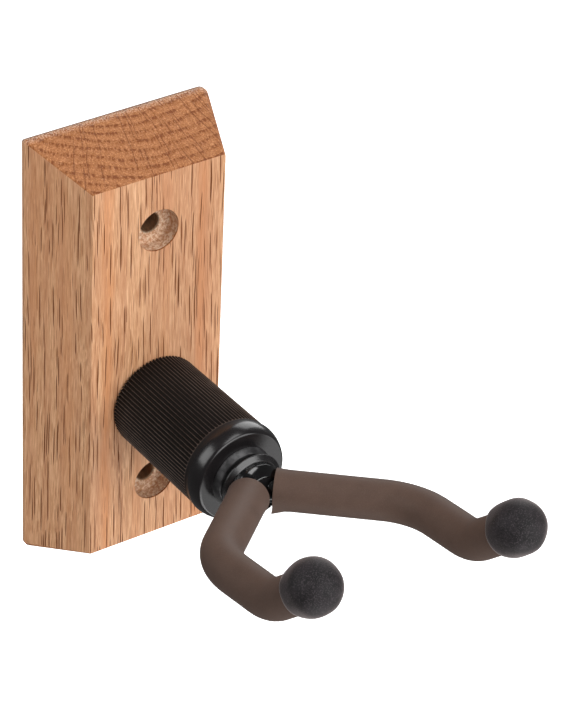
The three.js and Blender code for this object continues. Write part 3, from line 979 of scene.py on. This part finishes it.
def shape_cut_end(bm, arm, start, lip):
    """Swells the sleeve near its cut end, and pulls its lowest part out into a lip."""
    end_middle = CROSSING + arm.direction * start
    down = (LIP_SIDE - arm.direction * LIP_SIDE.dot(arm.direction)).normalized()
    for vert in bm.verts:
        offset = vert.co / MM - end_middle
        along = offset.dot(arm.direction)
        around = offset - arm.direction * along
        if along > 3 * SWELL_LENGTH or around.length < SLEEVE_BORE + 0.3:
            continue
        fade = math.exp(-((along / SWELL_LENGTH) ** 2))
        low = max(0, around.normalized().dot(down))
        move = around.normalized() * SWELL * fade
        move += (down * LIP_DROP - arm.direction * LIP_FOLD) * lip * fade * low ** LIP_NARROWNESS
        vert.co += move * MM


def make_sleeve(word, arm):
    bm = bmesh.new()
    end = SLEEVE_IN_TIP - TIP_REAR
    start = SLEEVE_START[word]
    outer = skin_along(bm, arm, SLEEVE_RADIUS, start, end, SLEEVE_SEGMENTS)
    inner = skin_along(bm, arm, SLEEVE_BORE, start, end, SLEEVE_SEGMENTS)
    for outside, inside in zip(outer, inner):
        bmesh.ops.bridge_loops(bm, edges=outside + inside)
    bmesh.ops.recalc_face_normals(bm, faces=bm.faces)
    round_off(bm, [e for loop in (*outer, *inner) for e in loop if e.is_valid], 0.25, 3)
    shape_cut_end(bm, arm, start, LIP[word])
    bmesh.ops.transform(bm, matrix=swing, verts=bm.verts)
    return finish_mesh(f"{word}_tube", bm, angle=50)


sleeves = {word: make_sleeve(word, arm) for word, arm in arms.items()}
for word, sleeve in sleeves.items():
    fit(sleeve, f"{word}_sleeve", "yoke")
print("sleeves:", [len(sleeve.data.polygons) for sleeve in sleeves.values()])

# %% [markdown]
# A tip is a rubber bulb with a socket. Its outline is spun on the arm's last direction. Dipped rubber is
# never quite round, so a soft noise moves the surface in and out by up to a few tenths of a millimetre.

# %% Tips
TIP_RADIUS = 8
TIP_RIM = 7.1
TIP_FRONT = 8.3
TIP_STEPS = 96
ROD_SOCKET = 4.3
SLEEVE_SOCKET = 6.2
BULB_STEPS = 16
LUMP_SIZE = 5.5
LUMP_HEIGHT = 0.3
LUMP_OFFSET = 7.3


def bulb_outline():
    """The outside of the bulb, from its rim to its front pole, as (radius, distance along)."""
    points = []
    for i in range(BULB_STEPS // 2):
        share = i / (BULB_STEPS // 2)
        bulge = math.sqrt(1 - (1 - share) ** 2)
        points.append((TIP_RIM + (TIP_RADIUS - TIP_RIM) * bulge, -TIP_REAR * (1 - share)))
    for i in range(BULB_STEPS):
        angle = math.pi / 2 * i / BULB_STEPS
        points.append((TIP_RADIUS * math.cos(angle), TIP_FRONT * math.sin(angle)))
    return points + [(0, TIP_FRONT)]


def socket_outline():
    """The inside of the tip: a narrow hole for the rod, and a wide one behind it for the sleeve."""
    rod_end = ROD_PAST_TIP + CLEARANCE
    sleeve_end = SLEEVE_IN_TIP - TIP_REAR + CLEARANCE
    return [
        (0, rod_end),
        (ROD_SOCKET, rod_end),
        (ROD_SOCKET, sleeve_end),
        (SLEEVE_SOCKET, sleeve_end),
        (SLEEVE_SOCKET, -TIP_REAR + 0.25),
        (SLEEVE_SOCKET + 0.2, -TIP_REAR),
        (TIP_RIM - 0.25, -TIP_REAR - 0.02),
    ]


def make_tip(word, arm, lump_offset):
    bm = bmesh.new()
    outline = socket_outline() + bulb_outline()
    verts = [bm.verts.new((radius * MM, 0, along * MM)) for radius, along in outline]
    for pair in zip(verts, verts[1:]):
        bm.edges.new(pair)
    spin_wire(bm, (0, 0, 0), (0, 0, 1), TIP_STEPS)
    for vert in bm.verts:
        radius = math.hypot(vert.co.x, vert.co.y) / MM
        along = vert.co.z / MM
        if radius > TIP_RIM - 0.1 or along > ROD_PAST_TIP + 1:
            lump = noise.noise(vert.co / MM / LUMP_SIZE + Vector((lump_offset, 0, 0)))
            vert.co += vert.co.normalized() * lump * LUMP_HEIGHT * MM
    bmesh.ops.transform(bm, matrix=swing @ facing_along(arm.tip, tip_direction), verts=bm.verts)
    return finish_mesh(f"{word}_bulb", bm, angle=50)


tips = {word: make_tip(word, arm, LUMP_OFFSET * i) for i, (word, arm) in enumerate(arms.items())}
for word, tip in tips.items():
    fit(tip, f"{word}_tip", "yoke")
print("tips:", [len(tip.data.polygons) for tip in tips.values()])

# %% [markdown]
# ## Tools for materials
#
# A procedural finish is a small graph of nodes. These helpers add a node, wire its inputs and hand back
# its output, so a finish reads as a few lines. Every pattern starts from Object coordinates turned into
# millimetres; each piece's object is at the origin, so these are real places on the hanger. The numbers
# of a stretch say how many of the pattern's cells lie in a millimetre across, outward and upward.

# %% A small graph builder


def srgb(red, green, blue):
    """A colour given as 0-255 screen values, as the linear colour that a shader needs."""
    linear = [((c / 255 + 0.055) / 1.055) ** 2.4 if c > 10 else c / 255 / 12.92 for c in (red, green, blue)]
    return (*linear, 1)


class Finish:
    """A material and short ways to add nodes to it. An input is given as a socket or as a value."""

    def __init__(self, material_name):
        self.material = bpy.data.materials.new(material_name)
        self.material.use_nodes = True
        self.tree = self.material.node_tree
        self.shader = self.tree.nodes["Principled BSDF"]

    def wire(self, socket, value):
        if isinstance(value, bpy.types.NodeSocket):
            self.tree.links.new(value, socket)
        else:
            socket.default_value = value

    def node(self, kind, inputs, **settings):
        made = self.tree.nodes.new(kind)
        for key, value in settings.items():
            setattr(made, key, value)
        for key, value in inputs.items():
            self.wire(made.inputs[key], value)
        return made

    def place(self, offset=(0, 0, 0)):
        """Object coordinates in millimetres."""
        coordinates = self.node("ShaderNodeTexCoord", {}).outputs["Object"]
        inputs = {"Vector": coordinates, "Location": offset, "Scale": (1 / MM, 1 / MM, 1 / MM)}
        return self.node("ShaderNodeMapping", inputs).outputs["Vector"]

    def stretch(self, vector, scale):
        return self.node("ShaderNodeMapping", {"Vector": vector, "Scale": scale}).outputs["Vector"]

    def parts(self, vector):
        """The three numbers of a vector."""
        return self.node("ShaderNodeSeparateXYZ", {"Vector": vector}).outputs[:3]

    def joined(self, x, y=0.0):
        """A vector made of one or two numbers."""
        return self.node("ShaderNodeCombineXYZ", {"X": x, "Y": y}).outputs["Vector"]

    def noise(self, vector, scale=1, detail=2, roughness=0.5, distortion=0, output="Fac"):
        inputs = {"Vector": vector, "Scale": scale, "Detail": detail, "Roughness": roughness,
                  "Distortion": distortion}
        return self.node("ShaderNodeTexNoise", inputs).outputs[output]

    def math(self, operation, first, second=0.0):
        return self.node("ShaderNodeMath", {0: first, 1: second}, operation=operation).outputs[0]

    def times(self, first, *others):
        for other in others:
            first = self.math("MULTIPLY", first, other)
        return first

    def vector_math(self, operation, first, second):
        inputs = {0: first, 1: second}
        return self.node("ShaderNodeVectorMath", inputs, operation=operation).outputs["Vector"]

    def length(self, vector):
        return self.node("ShaderNodeVectorMath", {0: vector}, operation="LENGTH").outputs["Value"]

    def between(self, value, low, high, to_low=0.0, to_high=1.0):
        """A smooth step: to_low below low, to_high above high."""
        inputs = {"Value": value, "From Min": low, "From Max": high, "To Min": to_low, "To Max": to_high}
        return self.node("ShaderNodeMapRange", inputs, interpolation_type="SMOOTHSTEP").outputs["Result"]

    def mix(self, share, first, second):
        made = self.node("ShaderNodeMix", {"Factor": share}, data_type="RGBA")
        for socket, value in zip([s for s in made.inputs if s.type == "RGBA"], (first, second)):
            self.wire(socket, value)
        return [s for s in made.outputs if s.type == "RGBA"][0]

    def stain(self, colour, share, red, green, blue):
        """Lays a stain over a colour, by a share from 0 to 1."""
        return self.mix(share, colour, srgb(red, green, blue))

    def bump(self, height, distance, strength, **under):
        """Bump of a real height, in millimetres."""
        inputs = {"Height": height, "Distance": distance * MM, "Strength": strength, **under}
        return self.node("ShaderNodeBump", inputs).outputs["Normal"]

    def shade(self, **inputs):
        """Wires the shader, or sets its own sockets where a value is the same all over."""
        for key, value in inputs.items():
            self.wire(self.shader.inputs[key.replace("_", " ").title().replace("Ior", "IOR")], value)

    def from_axis(self):
        """The place measured from the barrel's axis, its radius, and its Y, in millimetres."""
        place = self.place(offset=(0, 0, -AXIS_HEIGHT))
        radius = self.length(self.vector_math("MULTIPLY", place, (1, 0, 1)))
        return place, radius, self.parts(place)[1]


def paint(finish, *pieces):
    for piece in pieces:
        piece.data.materials.clear()
        piece.data.materials.append(finish.material)


# %% [markdown]
# ## Red oak
#
# Wood is solid, so its pattern is worked out in space and every cut shows the right slice of it. The
# rings are cylinders round a pith that lies behind the wall. Each starts with large open pores and ends
# in dense, smooth wood. A board is never quite straight, so the place is bent before anything is drawn.
# A pore is a long thin tube up the grain: on the front and sides it shows as a dark dash.

# %% Growth rings and pores
PITH = (10, 42, 0)
RING_WIDTH = 2.9
RING_SHIFT = 0.5
DRIFT = (5, 5, 0)
oak = Finish("red_oak")
place = oak.place()
across, outward, upward = oak.parts(place)


def sway(cells, amount, detail=2):
    """A slow wander to both sides, in mm."""
    pattern = oak.noise(oak.stretch(place, cells), detail=detail)
    return oak.times(oak.math("SUBTRACT", pattern, 0.5), amount)


drift = oak.noise(oak.stretch(place, (0.045, 0.045, 0.009)), output="Color")
drift = oak.vector_math("MULTIPLY", oak.vector_math("SUBTRACT", drift, (0.5, 0.5, 0.5)), DRIFT)
wave = sway((0.06, 0.06, 0.03), 1.6, detail=1)
wiggle = sway((0.5, 0.5, 0.2), 0.15)
lean = oak.joined(oak.math("ADD", wave, wiggle))
warped = oak.vector_math("ADD", oak.vector_math("ADD", place, drift), lean)
from_pith = oak.vector_math("MULTIPLY", oak.vector_math("SUBTRACT", warped, PITH), (1, 1, 0))
ring_radius = oak.length(from_pith)
ragged = oak.times(oak.noise(oak.stretch(place, (0.9, 0.9, 0.05))), 0.9)
ring_place = oak.math("ADD", oak.math("ADD", ring_radius, RING_SHIFT), ragged)
ring = oak.math("FRACT", oak.math("DIVIDE", ring_place, RING_WIDTH))
early = oak.math("MAXIMUM", oak.between(ring, 0.10, 0.55, 1, 0), oak.between(ring, 0.94, 1.0, 0, 1))


def pore_layer(width, height, radius, late_share, early_share):
    """A mask that is 1 inside a pore. Each cell, so wide and so high, may hold one. The shares say how
    many cells do, in late and in early wood."""
    cells = oak.stretch(warped, (1 / width, 1 / width, 1 / height))
    voronoi = oak.node("ShaderNodeTexVoronoi", {"Vector": cells, "Scale": 1, "Randomness": 1})
    lucky = oak.node("ShaderNodeSeparateColor", {"Color": voronoi.outputs["Color"]}).outputs["Red"]
    present = oak.math("LESS_THAN", lucky, oak.between(early, 0, 1, late_share, early_share))
    size = oak.math("DIVIDE", voronoi.outputs["Distance"], radius / width)
    return oak.times(oak.between(size, 0.82, 1.04, 1, 0), present)


big_pores = pore_layer(0.62, 27, 0.19, 0.54, 0.9)
small_pores = pore_layer(0.42, 12, 0.125, 0.36, 0.66)
print("rings", RING_WIDTH, "mm wide round a pith at", PITH)

# %% [markdown]
# Between the pores the planed faces are pale fibres of two tones, with broad warm bands, two redder
# streaks up the board, and fine darker lines. Each is laid over the last as a stain with its own mask.

# %% Faces along the grain
RED_STREAKS = ((-16.5, 2.4), (14.5, 2.8))
fibres = oak.noise(oak.stretch(warped, (4.2, 4.2, 0.11)), detail=3, roughness=0.65)
fine_fibres = oak.noise(oak.stretch(warped, (8, 8, 0.25)))
streaks = oak.between(oak.noise(oak.stretch(warped, (1.3, 1.3, 0.035))), 0.52, 0.62)
bands = oak.noise(oak.stretch(place, (0.16, 0.16, 0.006)), distortion=0.4)
colour = oak.mix(oak.between(fibres, 0.34, 0.66), srgb(196, 142, 99), srgb(243, 194, 152))
colour = oak.stain(colour, oak.between(bands, 0.50, 0.64, 0, 0.4), 206, 138, 92)
for middle, half_width in RED_STREAKS:
    wandering = oak.math("ADD", across, sway((0.2, 0.2, 0.05), 3))
    from_streak = oak.math("ABSOLUTE", oak.math("SUBTRACT", wandering, middle))
    colour = oak.stain(colour, oak.between(from_streak, 0, half_width, 0.5, 0), 214, 138, 84)
colour = oak.stain(colour, oak.times(early, 0.3), 190, 130, 94)
colour = oak.stain(colour, oak.times(streaks, 0.25), 170, 112, 78)
colour = oak.stain(colour, oak.between(fine_fibres, 0.4, 0.62, 0, 0.4), 186, 126, 90)
colour = oak.stain(colour, oak.times(small_pores, 0.6), 150, 92, 54)
side_colour = oak.stain(colour, big_pores, 112, 63, 30)
print("red streaks:", len(RED_STREAKS))

# %% [markdown]
# The end grain soaks up more lacquer, so it is darker. The rings cross it as rows of dark teeth, and thin
# rays run across the rings. Saw fuzz leaves pale specks along its back edge, beside a thin dark line.

# %% End grain
RAY_CELLS = 46
RAY_SHARE = 0.4
RAY_HALF_WIDTH = 0.2
normal = oak.node("ShaderNodeNewGeometry", {}).outputs["Normal"]
end_grain = oak.between(oak.math("ABSOLUTE", oak.parts(normal)[2]), 0.2, 0.45)
flat_x, flat_y, _ = oak.parts(from_pith)
turn = oak.times(oak.math("ARCTAN2", flat_x, flat_y), RAY_CELLS)
cell = oak.math("FLOOR", turn)
chosen = oak.node("ShaderNodeTexWhiteNoise", {"W": cell}, noise_dimensions="1D").outputs["Value"]
from_ray = oak.math("ABSOLUTE", oak.math("SUBTRACT", oak.math("FRACT", turn), 0.5))
line = oak.between(from_ray, RAY_HALF_WIDTH * 0.4, RAY_HALF_WIDTH, 1, 0)
along_ray = oak.joined(oak.times(cell, 7.1), oak.times(ring_radius, 0.16))
broken = oak.between(oak.noise(along_ray, detail=1), 0.38, 0.52)
rays = oak.times(line, broken, oak.math("LESS_THAN", chosen, RAY_SHARE))
round_ring = oak.joined(oak.times(turn, 1.6), oak.times(ring_radius, 0.4))
teeth = oak.between(oak.noise(round_ring, detail=1), 0.47, 0.54)
comb = oak.times(teeth, oak.between(early, 0, 1, 0.2, 0.95))
speckle = oak.noise(oak.stretch(warped, (2.2, 2.2, 0.4)), detail=3, roughness=0.75)
fuzz = oak.times(oak.between(outward, -3.2, -0.6), oak.between(speckle, 0.46, 0.58))
end_colour = oak.mix(oak.between(speckle, 0.35, 0.65), srgb(160, 98, 53), srgb(200, 135, 86))
end_colour = oak.stain(end_colour, oak.times(early, 0.4), 142, 80, 40)
end_colour = oak.stain(end_colour, comb, 130, 68, 28)
end_colour = oak.stain(end_colour, oak.times(rays, 0.7), 116, 58, 25)
end_colour = oak.stain(end_colour, oak.between(speckle, 0.56, 0.68, 0, 0.6), 218, 162, 116)
end_colour = oak.stain(end_colour, oak.times(fuzz, 0.75), 238, 214, 192)
end_colour = oak.stain(end_colour, oak.between(outward, -0.75, -0.35, 0, 0.7), 104, 84, 70)
colour = oak.mix(end_grain, side_colour, end_colour)
print("one ray in", round(1 / RAY_SHARE, 1), "cells")

# %% [markdown]
# A drill tears the fibres, so the inside of a counterbore is paler and more mottled than the planed
# faces; its colour is also made paler still as painted light, standing in for the light that reaches into
# the recess. The narrow part behind it is painted darker, as painted shade deep in the hole. The pattern
# finds a hole by its distance from the hole's axis, and the counterbore by its depth.

# %% Drilled surfaces, gloss and relief
TORN_DEPTH = 1
GRAIN_DEPTH = 0.14
MARGIN = 0.5
torn = oak.noise(oak.stretch(place, (1.1, 1.1, 1.1)), detail=4, roughness=0.7)
reach = oak.times(outward, -1)
below_face = oak.math("LESS_THAN", reach, BLOCK_DEPTH - MARGIN)
above_floor = oak.math("GREATER_THAN", reach, BLOCK_DEPTH - HEAD_DEPTH - MARGIN)
in_counterbore = oak.times(below_face, above_floor)
drilled = 0.0
painted_hole_shade = 0.0
for hole_height in SCREW_HEIGHTS:
    off_axis = oak.length(oak.joined(across, oak.math("SUBTRACT", upward, hole_height)))
    in_head = oak.times(oak.math("LESS_THAN", off_axis, HEAD_RADIUS + 0.2), in_counterbore)
    in_shank = oak.between(off_axis, SHANK_RADIUS + 0.1, SHANK_RADIUS + 0.5, 1, 0)
    drilled = oak.math("MAXIMUM", in_head, drilled)
    # painted shade: the narrow hole's wall is darkened where little light reaches into it
    painted_hole_shade = oak.math("MAXIMUM", oak.times(in_shank, below_face), painted_hole_shade)
# painted light: the counterbore's colours are torn fibres made paler still, standing in for light in the
# recess
torn_fibres_and_painted_light = oak.mix(oak.between(torn, 0.42, 0.6), srgb(214, 162, 124), srgb(255, 224, 194))
torn_fibres_and_painted_light = oak.stain(torn_fibres_and_painted_light, oak.between(torn, 0.6, 0.72, 0, 0.7), 250, 238, 224)
colour = oak.mix(drilled, colour, torn_fibres_and_painted_light)
# painted shade darkens the narrow part of each screw hole
colour = oak.stain(colour, oak.times(painted_hole_shade, 0.75), 112, 92, 70)
height = oak.math("SUBTRACT", oak.times(fibres, 0.12), big_pores)
height = oak.math("SUBTRACT", height, oak.times(small_pores, 0.35))
height = oak.math("ADD", height, oak.times(speckle, end_grain, 1.5))
grain_bump = oak.bump(height, GRAIN_DEPTH, 0.7)
torn_bump = oak.bump(oak.times(torn, drilled), TORN_DEPTH, 1, Normal=grain_bump)
oak.shade(base_color=colour, roughness=oak.math("ADD", 0.5, oak.times(big_pores, 0.3)),
          normal=torn_bump, specular_ior_level=0.3)
paint(oak, oak_block)
print("oak nodes:", len(oak.tree.nodes))

# %% [markdown]
# ## Black moulded plastic
#
# The ribbed length is dull, with a little brown dust in its grooves. Its crests are painted paler, partly as
# rubbed wear and partly as a painted highlight where they catch the light. The collar is smooth, and a clear
# coat that starts just behind it gives it its gloss. One material serves both, and the reach tells them
# apart. The distance from the axis tells crest from groove.

# %% Barrel plastic
plastic = Finish("barrel_plastic")
place, radius, y = plastic.from_axis()
reach = plastic.times(y, -1)
full_radius = plastic.math("ADD", REAR_RADIUS - DRAFT * BARREL_REAR, plastic.times(reach, DRAFT))
crest_wear_and_highlight = plastic.between(plastic.math("SUBTRACT", full_radius, radius), 0.02, 0.24, 1, 0)
collar = plastic.between(reach, rib_end - 0.3, rib_end + 0.3)
grain = plastic.noise(place, scale=2.2, detail=4, roughness=0.6)
smudge = plastic.noise(place, scale=0.16, detail=3, roughness=0.55)
# crests painted paler: partly rubbed wear, partly a painted highlight
ribs_colour = plastic.mix(crest_wear_and_highlight, srgb(20, 15, 13), srgb(104, 90, 82))
ribs_colour = plastic.stain(ribs_colour, plastic.between(smudge, 0.4, 0.7, 0, 0.35), 26, 20, 17)
collar_colour = plastic.mix(smudge, srgb(20, 18, 19), srgb(34, 31, 32))
rough = plastic.between(reach, rib_end, rib_end + 3.2, 0.6, 0.18)
plastic.shade(base_color=plastic.mix(collar, ribs_colour, collar_colour),
              roughness=plastic.math("ADD", rough, plastic.times(smudge, 0.1)),
              normal=plastic.bump(grain, 0.03, 0.5), specular_ior_level=0.2, coat_roughness=0.22,
              coat_weight=plastic.between(reach, rib_end + 1.2, rib_end + 3, 0, 0.75))
paint(plastic, ribbed_barrel)
print("barrel plastic nodes:", len(plastic.tree.nodes))

# %% [markdown]
# ## Metals
#
# Turned steel shows faint rings from the tool. On these pieces every ring lies round the barrel's axis,
# so the pattern is a noise that changes quickly along the reach and the radius and not at all round the
# axis. The bush is a dull grey-black. The stem and its flange are dipped satin black, the hub and the
# rods gloss black, and the welds are duller. The bolt, the nut and the washers are zinc plated, and the
# insert is bare brass.

# %% Steel, black finishes and brass


def turned_finish(material_name, mark_scale):
    """A new finish, rings round the barrel's axis, and the place measured from it."""
    finish = Finish(material_name)
    place, radius, y = finish.from_axis()
    marks = finish.noise(finish.joined(radius, y), scale=mark_scale, detail=3, roughness=0.7)
    return finish, marks, place


def metal(material_name, dark, light, rough, mark_depth, **constants):
    finish, marks, place = turned_finish(material_name, 6)
    smudge = finish.noise(place, scale=0.35, detail=4, roughness=0.6)
    finish.shade(base_color=finish.mix(finish.between(smudge, 0.35, 0.7), srgb(*dark), srgb(*light)),
                 roughness=finish.math("ADD", rough, finish.times(smudge, 0.16)),
                 normal=finish.bump(marks, mark_depth, 0.6), coat_roughness=0.05, **constants)
    return finish


satin_steel = metal("satin_black_steel", (58, 57, 58), (96, 95, 96), 0.34, 0.02, metallic=0.5)
gloss_dip = metal("gloss_black_dip", (9, 8, 9), (16, 14, 16), 0.12, 0.008, coat_weight=1)
satin_dip = metal("satin_black_dip", (22, 20, 21), (32, 30, 31), 0.18, 0.015, specular_ior_level=0.8)
hub_dip = metal("hub_gloss_dip", (6, 5, 6), (9, 8, 9), 0.06, 0.01, coat_weight=1)
weld_dip = metal("weld_black_dip", (9, 8, 9), (18, 16, 18), 0.45, 0.02, specular_ior_level=0.2)
zinc = metal("zinc_plate", (166, 170, 172), (204, 205, 200), 0.26, 0.012, metallic=1)
brass = metal("bare_brass", (176, 138, 66), (216, 180, 102), 0.24, 0.015, metallic=1)
paint(satin_steel, bush)
paint(satin_dip, stem)
paint(hub_dip, hub)
paint(gloss_dip, *rods.values())
paint(weld_dip, weld_bed, *welds.values())
paint(zinc, hex_bolt, flat_washer, split_washer, thrust_ring, cone_spring, locking_nut)
paint(brass, brass_insert)
print("metal nodes:", len(zinc.tree.nodes))

# %% [markdown]
# ## Nylon
#
# Nylon washers are smooth and slightly waxy, with faint turning rings and a little light that travels
# under the surface of the white one.

# %% Nylon
SCATTER = 0.5


def nylon(material_name, dark, light, glow):
    finish, marks, place = turned_finish(material_name, 5)
    cloud = finish.noise(place, scale=0.8, detail=3)
    finish.shade(base_color=finish.mix(cloud, srgb(*dark), srgb(*light)),
                 roughness=finish.math("ADD", 0.36, finish.times(cloud, 0.15)),
                 normal=finish.bump(marks, 0.01, 0.5), subsurface_weight=glow, subsurface_scale=SCATTER * MM)
    return finish


paint(nylon("black_nylon", (16, 15, 16), (30, 28, 29), 0), slip_ring)
paint(nylon("white_nylon", (205, 204, 196), (226, 225, 218), 0.3), nylon_ring)
print("light travels", SCATTER, "mm in the white nylon")

# %% [markdown]
# ## Rubber
#
# The sleeves are taupe tubing, a little uneven in tone, with a fine dusty grain. They are dull, with a
# trace of sheen at grazing angles, as dusty rubber has.

# %% Sleeve rubber
tubing = Finish("sleeve_rubber")
place = tubing.place()
dust = tubing.noise(place, scale=0.22, detail=3, roughness=0.6)
grain = tubing.noise(place, scale=3.2, detail=3, roughness=0.7)
colour = tubing.mix(dust, srgb(82, 64, 55), srgb(98, 77, 67))
colour = tubing.stain(colour, tubing.between(grain, 0.45, 0.75, 0, 0.3), 112, 94, 84)
tubing.shade(base_color=colour, roughness=tubing.math("ADD", 0.5, tubing.times(dust, 0.2)),
             normal=tubing.bump(grain, 0.035, 0.6), specular_ior_level=0.2, sheen_weight=0.05,
             sheen_roughness=0.5)
paint(tubing, *sleeves.values())
print("sleeve nodes:", len(tubing.tree.nodes))

# %% [markdown]
# The tips are charcoal rubber, mottled where handling has rubbed it, with a coarser grain than the
# sleeves and a stronger, slightly warm sheen that makes their edges paler.

# %% Tip rubber
bulb = Finish("tip_rubber")
place = bulb.place()
mottle = bulb.noise(place, scale=0.28, detail=5, roughness=0.62, distortion=0.3)
grain = bulb.noise(place, scale=2.4, detail=4, roughness=0.75)
colour = bulb.mix(bulb.between(mottle, 0.38, 0.64), srgb(13, 10, 12), srgb(33, 28, 31))
colour = bulb.stain(colour, bulb.between(grain, 0.5, 0.64, 0, 0.5), 84, 76, 80)
bulb.shade(base_color=colour, roughness=bulb.math("ADD", 0.55, bulb.times(mottle, 0.2)),
           normal=bulb.bump(grain, 0.05, 0.7), specular_ior_level=0.35, sheen_weight=0.55,
           sheen_tint=(1, 0.86, 0.84, 1), sheen_roughness=0.35)
paint(bulb, *tips.values())
print("tip nodes:", len(bulb.tree.nodes))
